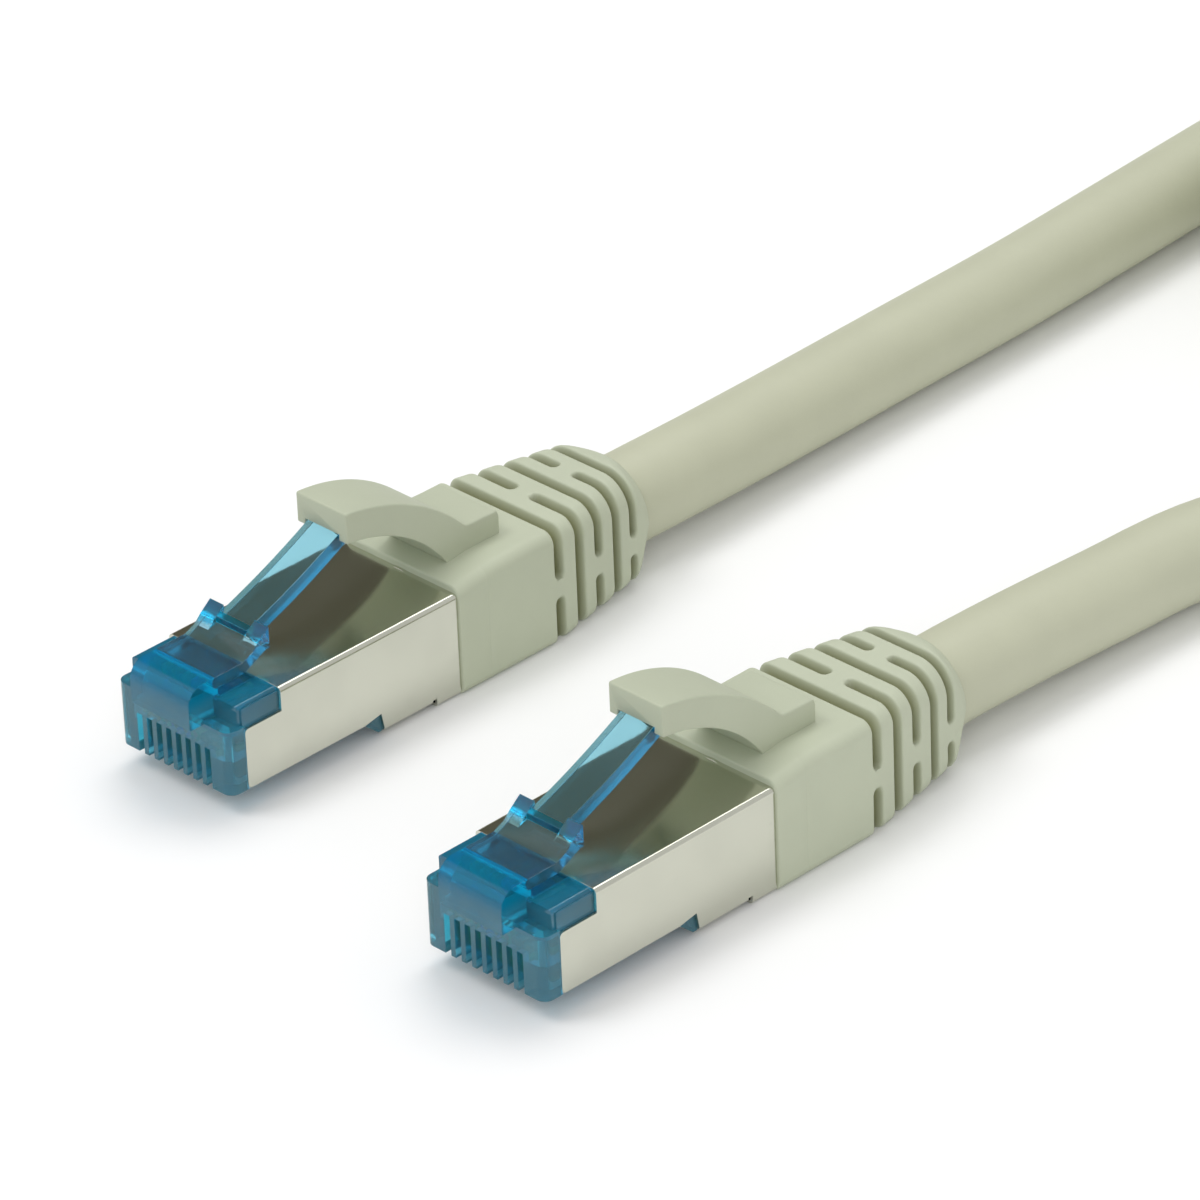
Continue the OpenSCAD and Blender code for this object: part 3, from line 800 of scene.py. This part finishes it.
@dataclass
class Hood:
    """Bowed tongue over the release lever, with the pad that it grows out of."""

    # Tongue from its lip to its heel, and the pad behind it.
    lip: float = 15.25
    heel: float = 25.25
    pad: float = 26.3
    pad_end: float = 29.7
    pad_top: float = 11.4
    pad_fall: float = 0.1
    pad_run: float = 3.0
    # Arcs of the upper side and of the skirts: centre's X and Z, and radius.
    outer: Point = (13.9, 0.25, 16.76)
    inner: Point = (14.55, 2.65, 11.85)
    foot: float = 8.7
    lip_w: float = 5.2
    root_w: float = 6.0
    # Channel for the lever, and its roof: distance from the lip and height.
    channel_w: float = 3.5
    channel_end: float = 19.35
    roof: tuple[tuple[float, float], ...] = ((0.0, 15.0), (0.25, 15.12), (0.6, 15.42),
                                             (1.3, 15.76), (4.0, 15.16))
    # Rounded edges, and the crease where the tongue leaves the pad.
    edge: float = 0.15
    low_edge: float = 0.7
    flare: tuple[float, float] = (0.4, 0.3)
    crease: float = 0.35
    # Spacing of the stations, and the number of points on each stretch.
    hair: float = 0.01
    margin: float = 0.5
    pace: float = 0.25
    lip_steps: int = 4
    rear_steps: int = 6
    steps: tuple[int, ...] = (6, 5, 8, 4, 3, 5, 5)

    def arc(self, circle: Point, x: float) -> float:
        """Height at x of the upper half of a circle, given by its centre and radius."""
        cx, cz, r = circle
        return cz + math.sqrt(max(0.0, r * r - (x - cx) ** 2))

    def top(self, x: float) -> float:
        """Finds the upper surface, with a soft crease where the tongue leaves the pad.

        Args:
            x: Place along the plug.

        Returns:
            Its height.
        """
        pad = self.pad_top - self.pad_fall * max(0.0, x - self.pad) / self.pad_run
        arc = self.arc(self.outer, x)
        k = self.crease
        h = max(0.0, k - abs(arc - pad)) / k
        return max(arc, pad) + h * h * k / 4 - round_drop(2 * self.edge, self.pad_end - x)

    def under(self, x: float) -> float:
        """Finds the underside of the two skirts.

        Args:
            x: Place along the plug.

        Returns:
            Its height.
        """
        if x > self.inner[0] + self.inner[2] - self.hair:
            return self.foot
        return max(self.foot, self.arc(self.inner, x))

    def ceiling(self, x: float) -> float:
        """Finds the roof of the lever's channel, or the underside past its end.

        Args:
            x: Place along the plug.

        Returns:
            Its height.
        """
        if x >= self.channel_end:
            return self.under(x)
        d = x - self.lip
        for (x0, z0), (x1, z1) in zip(self.roof, self.roof[1:]):
            if d <= x1:
                return mix(z0, z1, max(0.0, (d - x0) / (x1 - x0)))
        return self.roof[-1][1]

    def inset(self, x: float) -> float:
        """How far the lip's rounded edge draws the section in."""
        return round_drop(self.edge, x - self.lip)

    def point(self, x: float, part: int, t: float) -> tuple[float, float]:
        """Finds a point on the right half of a section.

        Args:
            x: Place along the plug.
            part: Which of the seven stretches.
            t: Share of the way along it.

        Returns:
            Its y and z.
        """
        e = self.inset(x)
        share = min(1.0, (x - self.lip) / (self.heel - self.lip))
        half = mix(self.lip_w, self.root_w, share) / 2 - e
        top, under, roof = self.top(x) - e, self.under(x) + e, self.ceiling(x)
        channel = self.channel_w / 2 + e * self.flare[0]
        roof = max(under, roof + e * self.flare[1])
        r_low = self.edge * self.low_edge
        if part <= Stretch.LOW_CORNER:
            return Section(half, top, self.edge, r_low, under).point(part, t)
        if part == Stretch.FOOT:
            return mix(half - r_low, channel, t), under
        if part == Stretch.WALL:
            return channel, mix(under, roof, t)
        return channel * (1 - t), roof

    def stations(self) -> list[float]:
        """Sets the places along X where the section is made.

        Returns:
            The places, closest together at the lip and at the pad's end.
        """
        xs = [self.lip + self.edge * k for k in arc_steps(self.lip_steps)]
        x = self.lip + self.margin
        while x < self.pad_end - self.margin:
            xs.append(x)
            x += self.pace
        xs += [self.channel_end - self.hair, self.channel_end]
        xs += [self.pad_end - 2 * self.edge * (1 - k) for k in arc_steps(self.rear_steps)]
        return sorted(xs)

    def build(self, at: Vector) -> bmesh.types.BMesh:
        """Makes the hood's mesh.

        Args:
            at: Where the plug's own frame lies, in millimetres.

        Returns:
            The closed mesh.
        """
        def place(x: float, part: int, t: float) -> Point:
            """Y and Z of a point, which lies in no groove."""
            return *self.point(x, part, t), 0.0
        bm = Bench.roll(self.stations(), self.steps, place, at)
        bmesh.ops.dissolve_degenerate(bm, edges=bm.edges, dist=CUT_GAP)
        return bm


# ------------------------------------------------------------------ finishes

# The third colour of each grey plastic is painted shade for its grooves.
BOOT_PLASTIC = SoftMoulding("boot_plastic", srgb(189, 195, 172), srgb(150, 152, 114))
# Painted shade: the hood is the boot's plastic, painted a little darker to take down the
# stronger light on its top.
HOOD_PLASTIC_PAINTED_SHADE = SoftMoulding("hood_plastic_painted_shade", srgb(184, 190, 167), srgb(150, 152, 114))
JACKET = SoftMoulding("jacket_plastic", srgb(192, 194, 170), srgb(150, 152, 114), rough=0.42,
                      grain_mm=0.8, grain_depth_mm=0.008)
# Painted light: each clear plastic's first two colours are painted paler low down and deeper
# high up; the third is its real absorption colour.
BLUE = ClearPlastic("blue_polycarbonate", srgb(118, 203, 224), srgb(14, 194, 243),
                    (0.0, 0.91, 0.96), 380.0, clear=0.8)
BLUE_THIN = ClearPlastic("blue_polycarbonate_thin", srgb(200, 227, 234),
                         srgb(206, 229, 235), (0.0, 0.78, 0.93), 540.0, clear=0.96)
CLEAR = ClearPlastic("clear_polycarbonate", srgb(240, 245, 246), srgb(230, 238, 240),
                     (0.6, 0.7, 0.75), 60.0)
NICKEL = Metal("nickel_sheet", srgb(210, 211, 197), rough=0.18, mottle_mm=3.5)
GOLD = Metal("gold_plate", srgb(220, 180, 90), rough=0.22, mottle_mm=0.5)
COPPER = Metal("bare_copper", srgb(200, 125, 85), rough=0.3, mottle_mm=0.6)
FOIL = Metal("pair_foil", srgb(215, 216, 218), rough=0.25, mottle_mm=0.4, bump_mm=0.03)


@dataclass(frozen=True)
class Braid:
    """Tinned wires that cross over each other."""

    name: str = "tinned_braid"
    colour: Colour = srgb(190, 190, 186)
    gap_tone: float = 0.35
    pitch_mm: float = 0.35
    waves: float = 0.3
    weave_band: Band = (0.2, 0.7)
    rough: float = 0.3
    rough_spread: float = 0.15
    depth_mm: float = 0.05

    def material(self) -> bpy.types.Material:
        """Builds the material.

        Returns:
            Metal with two crossing sets of wires.
        """
        p = Paint(bpy.data.materials.new(self.name))
        sets = []
        for lean in (1.0, -1.0):
            wave = p.node("ShaderNodeMapping", {},
                          {"Vector": p.coords, "Scale": (1.0, lean, lean)})
            sets.append(p.node("ShaderNodeTexWave", {"bands_direction": "DIAGONAL"},
                               {"Vector": wave, "Scale": self.waves / (self.pitch_mm * MM)},
                               out="Fac"))
        weave = sets[0] * 0.5 + sets[1] * 0.5
        base = p.blend(toned(self.colour, self.gap_tone), self.colour,
                       weave.between(*self.weave_band))
        return p.close(Base_Color=base, Metallic=1.0,
                       Roughness=self.rough + weave * self.rough_spread,
                       Normal=p.bump(weave, self.depth_mm))


@dataclass(frozen=True)
class Insulation:
    """Coloured foam-skin insulation of one pair."""

    name: str
    colour: Colour
    streak_mm: float = 0.4
    streak_stretch: Point = (0.1, 1, 1)
    streak_band: Band = (0.4, 0.6)
    streak_tone: float = 1.25
    rough: float = 0.42
    rough_spread: float = 0.1
    depth_mm: float = 0.005

    def material(self) -> bpy.types.Material:
        """Builds the material.

        Returns:
            Satin plastic with faint streaks along the wire.
        """
        p = Paint(bpy.data.materials.new(self.name))
        streak = p.noise(self.streak_mm, stretch=self.streak_stretch)
        base = p.blend(self.colour, toned(self.colour, self.streak_tone),
                       streak.between(*self.streak_band))
        return p.close(Base_Color=base, Roughness=self.rough + streak * self.rough_spread,
                       Normal=p.bump(streak, self.depth_mm))


@dataclass(frozen=True)
class HookLoop:
    """Woven strap with a fuzzy loop face."""

    name: str = "hook_and_loop"
    colour: Colour = srgb(38, 38, 42)
    tones: tuple[float, float] = (0.5, 1.9)
    fuzz_mm: float = 0.25
    fuzz_share: float = 0.6
    thread_mm: float = 0.5
    weave_band: Band = (0.2, 0.75)
    rough: float = 0.9
    sheen: float = 0.4
    sheen_rough: float = 0.5
    depth_mm: float = 0.12

    def material(self) -> bpy.types.Material:
        """Builds the material.

        Returns:
            Dark fabric with a fine weave and fuzz.
        """
        p = Paint(bpy.data.materials.new(self.name))
        fuzz = p.noise(self.fuzz_mm, detail=4.0, rough=0.7)
        threads = p.node("ShaderNodeTexVoronoi", {}, {"Vector": p.coords,
                                                      "Scale": 1 / (self.thread_mm * MM)})
        weave = fuzz * self.fuzz_share + threads * (1 - self.fuzz_share)
        dark, light = (toned(self.colour, tone) for tone in self.tones)
        return p.close(Base_Color=p.blend(dark, light, weave.between(*self.weave_band)),
                       Roughness=self.rough, Sheen_Weight=self.sheen,
                       Sheen_Roughness=self.sheen_rough,
                       Normal=p.bump(fuzz + threads, self.depth_mm))


PAIRS = {"orange": Insulation("orange_insulation", srgb(225, 120, 45)),
         "green": Insulation("green_insulation", srgb(70, 150, 80)),
         "blue": Insulation("blue_insulation", srgb(55, 90, 170)),
         "brown": Insulation("brown_insulation", srgb(130, 85, 55))}


# ------------------------------------------------------------------ sub-assemblies


class End(Enum):
    """The two ends of the cable."""

    A = "a"
    B = "b"


@dataclass
class Lever:
    """Sag of the long springy lever and the painted light on the latch, in the plug's own
    frame.
    """

    # Where the lever rises from the latch, its slope and length, its sag and the cuts for it.
    foot: tuple[float, float] = (6.1, 11.05)
    rise_deg: float = 23.0
    length: float = 10.8
    sag: float = 0.2
    steps: int = 9
    # Faces with painted light, the saturated blue that light gathers in the clear plastic: band
    # and sides of the lever, level part behind the nose, upright sides.
    half: float = 1.65
    foot_band: float = 0.5
    foot_lead: float = 0.2
    foot_deep: float = 0.6
    level_end: float = 4.4
    level_painted_light: float = 0.3
    side_painted_light: float = 0.85
    side_lean: float = 0.7

    def axes(self) -> tuple[Vector, Vector]:
        """Directions along the lever and out of its upper side."""
        rise = math.radians(self.rise_deg)
        along = Vector((math.cos(rise), 0.0, math.sin(rise)))
        return along, Vector((-along.z, 0.0, along.x))

    def bend(self, bm: bmesh.types.BMesh, at: Vector) -> None:
        """Cuts the lever across its length and bows it down a little.

        Args:
            bm: The latch's mesh, which is changed.
            at: Where the plug's own frame lies, in millimetres.
        """
        along, out = self.axes()
        foot = Vector((at.x + self.foot[0], at.y, self.foot[1])) * MM
        cuts = [self.length * k / self.steps for k in range(1, self.steps)]
        for cut in (self.foot_band, *cuts):
            bmesh.ops.bisect_plane(
                bm, geom=bm.verts[:] + bm.edges[:] + bm.faces[:], dist=CUT_GAP,
                plane_co=foot + along * (cut * MM), plane_no=along)
        for v in bm.verts:
            t = min(1.0, max(0.0, (v.co - foot).dot(along) / (self.length * MM)))
            v.co -= out * (self.sag * MM * math.sin(math.pi * t))

    def painted_light(self, bm: bmesh.types.BMesh, at: Vector) -> None:
        """Stores how much painted light each face of the latch gets, from 0 to 1: a saturated
        blue glow where light gathers in the clear plastic.

        Args:
            bm: The latch's mesh, which is changed.
            at: Where the plug's own frame lies, in millimetres.
        """
        layer = bm.faces.layers.float.new("painted_light")
        along, out = self.axes()
        for face in bm.faces:
            centre = face.calc_center_median() / MM - at
            spot = centre - Vector((self.foot[0], 0.0, self.foot[1]))
            if centre.x < self.level_end:
                face[layer] = self.level_painted_light
            elif (spot.x > -self.foot_lead and spot.dot(out) > -self.foot_deep
                    and (spot.dot(along) < self.foot_band or abs(spot.y) > self.half)):
                face[layer] = 1.0
            elif abs(face.normal.y) > self.side_lean:
                face[layer] = self.side_painted_light


@dataclass
class PlugEnd:
    """One plug with its boot and hood, dressed."""

    bench: Bench
    end: End
    lever: Lever = field(default_factory=Lever)
    boot: Boot = field(default_factory=Boot)
    hood: Hood = field(default_factory=Hood)
    # Rounded edges; the body's only on the nose and above the shell.
    nose_skin: float = 1.3
    roof_z: float = 6.8
    housing_edge: float = 0.06
    latch_edge: float = 0.09
    shell_edge: float = 0.05
    # Edges sharper than these stay sharp.
    crisp_deg: float = 10.0
    shell_deg: float = 12.0
    boot_deg: float = 60.0
    hood_deg: float = 50.0
    # Places along the plug where the hood's root meets the boot and where its free tongue
    # begins, and a height.
    blend_start: float = 26.6
    blend_end: float = 24.2
    blend_z: float = 10.5

    def node(self, name: str) -> str:
        """This end's name for a node."""
        return f"{name}_{self.end.value}"

    def nose(self) -> Vector:
        """Place of the plug's own frame, in millimetres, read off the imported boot."""
        low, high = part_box(self.node("boot"))
        return Vector((low.x / MM - self.boot.front, (low.y + high.y) / 2 / MM, 0.0))

    def body(self) -> None:
        """Plug body, latch and shell."""
        at = self.nose()
        skin = (at.x + self.nose_skin) * MM

        def outside(p: Vector) -> bool:
            """Whether an edge's middle lies on the outer skin of the nose or on the roof."""
            return p.x < skin or p.z > self.roof_z * MM
        bm = self.bench.copy_of(self.node("housing"))
        self.bench.soften(bm, self.housing_edge, keep=outside)
        body = self.bench.piece(self.node("plug_body"), bm, BLUE, "blue_polycarbonate",
                                [self.node("housing")], self.crisp_deg)
        bm = self.bench.copy_of(self.node("latch"))
        self.lever.bend(bm, at)
        self.bench.soften(bm, self.latch_edge)
        # Painted light: a saturated blue glow is stored on the lever's foot, the ears and the
        # sides.
        self.lever.painted_light(bm, at)
        latch = self.bench.piece(self.node("snap_latch"), bm, BLUE_THIN, "blue_polycarbonate",
                                 [self.node("latch")], self.crisp_deg)
        bm = self.bench.copy_of(self.node("shell"))
        self.bench.soften(bm, self.shell_edge, 1)
        shell = self.bench.piece(self.node("metal_shell"), bm, NICKEL, "nickel_shell",
                                 [self.node("shell")], self.shell_deg)
        for piece in (body, shell):
            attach(piece, "cable_assembly")
        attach(latch, self.node("latch"))

    def relief(self) -> None:
        """Boot and hood."""
        at = self.nose()
        boot = self.bench.piece(self.node("ribbed_boot"), self.boot.build(at), BOOT_PLASTIC,
                                "boot_plastic", [self.node("boot")], self.boot_deg)
        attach(boot, "cable_assembly")
        hood = self.bench.piece(self.node("lever_hood"), self.hood.build(at), HOOD_PLASTIC_PAINTED_SHADE,
                                "boot_plastic", [self.node("hood")], self.hood_deg)
        self.node("hood")
        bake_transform(hood)

    def core(self) -> None:
        """Contacts, load bar and what the cable is made of."""
        self.bench.dress(self.node("contacts"), GOLD)
        self.bench.dress(self.node("load_bar"), CLEAR)
        self.bench.dress(self.node("conductors"), COPPER)
        self.bench.dress(self.node("pair_foils"), FOIL)
        self.bench.dress(self.node("braid"), Braid())
        self.bench.dress(self.node("jacket"), JACKET)
        for colour, finish in PAIRS.items():
            self.bench.dress(self.node(f"wires_{colour}"), finish)

    def build(self) -> None:
        """Makes the whole end."""
        self.body()
        self.relief()
        self.core()


@dataclass
class Cable:
    """The round cable: a lead from each plug and a tied coil between them."""

    bench: Bench
    # Diameter in millimetres, and length in metres.
    diameter: float = 7.2
    length: float = 0.807
    # Way out of each boot, straight at first, and on to the coil.
    exit_a: Point = (25.225, 17.7, 4.4)
    exit_b: Point = (21.325, -17.7, 4.4)
    lead_a: tuple[Point, ...] = (
        (33, 17.9, 4.2), (43, 18.4, 3.9), (56, 19, 3.7), (70, 19.5, 3.6), (83, 20.2, 3.7),
        (95, 20.9, 3.8), (107, 21.3, 4.1))
    lead_b: tuple[Point, ...] = (
        (30, -17.7, 4.2), (39, -17.8, 3.8), (48, -18.4, 3.7), (57, -21.2, 3.6),
        (64, -26.4, 3.7), (69.5, -33.4, 4.1), (74, -41.4, 5.6), (80, -49.4, 8.3),
        (88.5, -56, 11), (99, -60, 12.2), (110, -60.2, 11.8))
    straight: float = 2.0
    # Coil: its centre, the radius between its turns, and heights of its turns.
    centre: tuple[float, float] = (119.0, -20.2)
    middle: float = 38.0
    low: float = 4.5
    high: float = 10.74
    over: float = 11.8
    # Degrees after the coil's start where the cable changes radius and height.
    inwards: Band = (280, 360)
    climb: Band = (590, 668)
    centred: Band = (626, 702)
    settle: Band = (704, 764)
    # Degrees of the whole coil and between its points, and spacing and facets of the curve.
    turn: int = 900
    step: int = 10
    pace: float = 2.5
    facets: int = 10
    tie_edge: float = 0.25

    def wound(self, angle: float) -> Vector:
        """Finds a point of the coil: an outer turn, an inner one, and the rest on top.

        Args:
            angle: Degrees after the coil's start.

        Returns:
            The point, in millimetres.
        """
        outer, inner = (self.middle + k * self.diameter / 2 for k in (1, -1))
        r = mix(outer, inner, smoothstep(*self.inwards, angle))
        r = mix(r, self.middle, smoothstep(*self.centred, angle))
        z = mix(self.low, self.over, smoothstep(*self.climb, angle))
        z = mix(z, self.high, smoothstep(*self.settle, angle))
        a = math.radians(90 - angle)
        return Vector((self.centre[0] + r * math.cos(a), self.centre[1] + r * math.sin(a), z))

    def path(self) -> list[Vector]:
        """Strings the route's points on one smooth curve.

        Returns:
            The whole centreline, in metres, from one boot to the other.
        """
        coil = [self.wound(k) for k in range(0, self.turn + 1, self.step)]
        leave_a, leave_b = Vector(self.exit_a), Vector(self.exit_b)
        straight = Vector((self.straight, 0.0, 0.0))
        knots = [leave_a, leave_a + straight, *(Vector(p) for p in self.lead_a), *coil]
        knots += [*(Vector(p) for p in reversed(self.lead_b)), leave_b + straight, leave_b]
        first, last = 2 * knots[0] - knots[1], 2 * knots[-1] - knots[-2]
        knots = [first, *knots, last]
        line = []
        for a, b, c, d in zip(knots, knots[1:], knots[2:], knots[3:]):
            steps = max(1, round((c - b).length / self.pace))
            line += [self.curve(a, b, c, d, k / steps) for k in range(steps)]
        line.append(knots[-2])
        return [p * MM for p in line]

    @staticmethod
    def curve(a: Vector, b: Vector, c: Vector, d: Vector, t: float) -> Vector:
        """A point between b and c of the smooth curve through four points."""
        return 0.5 * (2 * b + (c - a) * t + (2 * a - 5 * b + 4 * c - d) * t * t
                      + (3 * b - a - 3 * c + d) * t ** 3)

    def build(self) -> None:
        """Makes the cable as one swept curve, and the tie round its coil."""
        line = self.path()
        curve = bpy.data.curves.new("cable", "CURVE")
        curve.dimensions = "3D"
        curve.twist_mode = "MINIMUM"
        curve.bevel_depth = self.diameter / 2 * MM
        curve.bevel_resolution = self.facets
        curve.use_fill_caps = True
        spline = curve.splines.new("POLY")
        spline.points.add(len(line) - 1)
        for point, co in zip(spline.points, line):
            point.co = (*co, 1.0)
        spline.use_smooth = True
        cable = bpy.data.objects.new("cable", curve)
        bpy.context.scene.collection.objects.link(cable)
        curve.materials.append(self.bench.finish(JACKET))
        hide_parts("cable_lead_a", "cable_coil", "cable_lead_b")
        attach(cable, "cable_assembly")
        bm = self.bench.copy_of("coil_tie")
        self.bench.soften(bm, self.tie_edge)
        tie = self.bench.piece("hook_loop_tie", bm, HookLoop(), "hook_loop", ["coil_tie"])
        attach(tie, "cable_assembly")
        LOG.info("cable: %.1f mm", sum((b - a).length for a, b in zip(line, line[1:])) / MM)


# ------------------------------------------------------------------ studio


@dataclass(frozen=True)
class Lamp:
    """A round soft lamp: where it hangs and its diameter in metres, and its watts."""

    name: str
    place: Point
    size: float
    power: float


@dataclass
class Studio:
    """Camera, lamps, floor and surroundings."""

    # Camera that was fitted to the photo: degrees, then millimetres, then metres.
    azimuth: float = -43.8499
    elevation: float = 30.3628
    roll: float = -2.433
    lens: float = 240.0
    sensor: float = 36.0
    clip: tuple[float, float] = (0.01, 20.0)
    eye: Point = (-0.33425, -0.35332, 0.29833)
    # Lamps, and where they point.
    lamps: tuple[Lamp, ...] = (Lamp("key", (-0.53, 0.45, 1.13), 0.52, 3.6),
                               Lamp("top", (0.45, 0.25, 1.05), 0.7, 3.6),
                               Lamp("fill", (-0.7, -0.7, 0.6), 0.6, 1.6))
    aim: Point = (0.02, 0.0, 0.0)
    # White floor and surroundings.
    floor_size: float = 6.0
    floor_colour: Colour = (0.9, 0.9, 0.9)
    floor_lift: float = 0.02
    sky: float = 0.7
    # Dark card: the direction to it, the cosines at which it starts and is full, its colour.
    card: Point = (0.598, 0.622, 0.506)
    card_edge: Band = (0.68, 0.84)
    card_colour: Colour = (0.145, 0.14, 0.105)

    def camera(self) -> None:
        """Sets up the camera."""
        a, e, r = (math.radians(v) for v in (self.azimuth, self.elevation, self.roll))
        back = Vector((math.sin(a) * math.cos(e), -math.cos(a) * math.cos(e), math.sin(e)))
        right = Vector((math.cos(a), math.sin(a), 0.0))
        up = back.cross(right)
        right, up = (math.cos(r) * right + math.sin(r) * up,
                     math.cos(r) * up - math.sin(r) * right)
        data = bpy.data.cameras.new("camera")
        data.lens = self.lens
        data.sensor_width = self.sensor
        data.clip_start, data.clip_end = self.clip
        camera = bpy.data.objects.new("camera", data)
        pose = Matrix((right, up, back)).transposed().to_4x4()
        pose.translation = Vector(self.eye)
        camera.matrix_world = pose
        bpy.context.scene.collection.objects.link(camera)
        bpy.context.scene.camera = camera

    def hang(self, lamp: Lamp) -> None:
        """Hangs a lamp so that it points at the object.

        Args:
            lamp: The lamp.
        """
        data = bpy.data.lights.new(lamp.name, "AREA")
        data.shape = "DISK"
        data.size = lamp.size
        data.energy = lamp.power
        light = bpy.data.objects.new(lamp.name, data)
        light.location = lamp.place
        light.rotation_mode = "QUATERNION"
        toward = Vector(self.aim) - Vector(lamp.place)
        light.rotation_quaternion = toward.to_track_quat("-Z", "Y")
        bpy.context.scene.collection.objects.link(light)

    def floor(self) -> None:
        """Lays the pale floor, which looks white but keeps its shadows."""
        bm = bmesh.new()
        bmesh.ops.create_grid(bm, x_segments=1, y_segments=1, size=self.floor_size / 2)
        mesh = bpy.data.meshes.new("floor")
        bm.to_mesh(mesh)
        bm.free()
        floor = bpy.data.objects.new("floor", mesh)
        bpy.context.scene.collection.objects.link(floor)
        p = Paint(bpy.data.materials.new("floor"))
        seen = self.shown(p) + p.ray("Glossy")
        matt = p.node("ShaderNodeBsdfDiffuse", {}, {"Color": self.floor_colour})
        glow = p.node("ShaderNodeEmission", {}, {
            "Color": (1.0, 1.0, 1.0), "Strength": seen.between(0.0, 1.0) * self.floor_lift})
        p.end("ShaderNodeOutputMaterial",
              Surface=p.node("ShaderNodeAddShader", {}, {0: matt, 1: glow}))
        mesh.materials.append(p.owner)

    @staticmethod
    def shown(p: Paint) -> Val:
        """Above 0 for rays that come straight from the camera or through clear plastic."""
        return p.ray("Camera") + p.ray("Transmission")

    def world(self) -> None:
        """Hangs white surroundings, with a dark card that only reflections show."""
        p = Paint(bpy.data.worlds.new("studio"))
        bpy.context.scene.world = p.owner
        toward = p.node("ShaderNodeTexCoord", out="Generated")
        near = p.node("ShaderNodeVectorMath", {"operation": "DOT_PRODUCT"},
                      {0: toward, 1: self.card}, out="Value")
        bounced = p.node("ShaderNodeLightPath", out="Glossy Depth").between(0.0, 1.0)
        card = near.between(*self.card_edge) * bounced
        colour = p.blend((1.0, 1.0, 1.0), self.card_colour, card)
        seen = self.shown(p).between(0.0, 1.0)
        level = seen + (1 - seen) * self.sky
        p.end("ShaderNodeOutputWorld", Surface=p.node(
            "ShaderNodeBackground", {}, {"Color": colour, "Strength": level}))

    def build(self) -> None:
        """Sets up everything but the camera."""
        self.floor()
        self.world()
        for lamp in self.lamps:
            self.hang(lamp)
        bpy.context.scene.view_settings.view_transform = "Standard"


def main() -> None:
    """Builds the scene in order."""
    logging.basicConfig(level=logging.INFO, format="%(name)s: %(message)s")
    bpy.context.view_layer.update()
    bench = Bench()
    studio = Studio()
    studio.camera()
    Cable(bench).build()
    for end in End:
        PlugEnd(bench, end).build()
    studio.build()


if __name__ == "__main__":
    main()
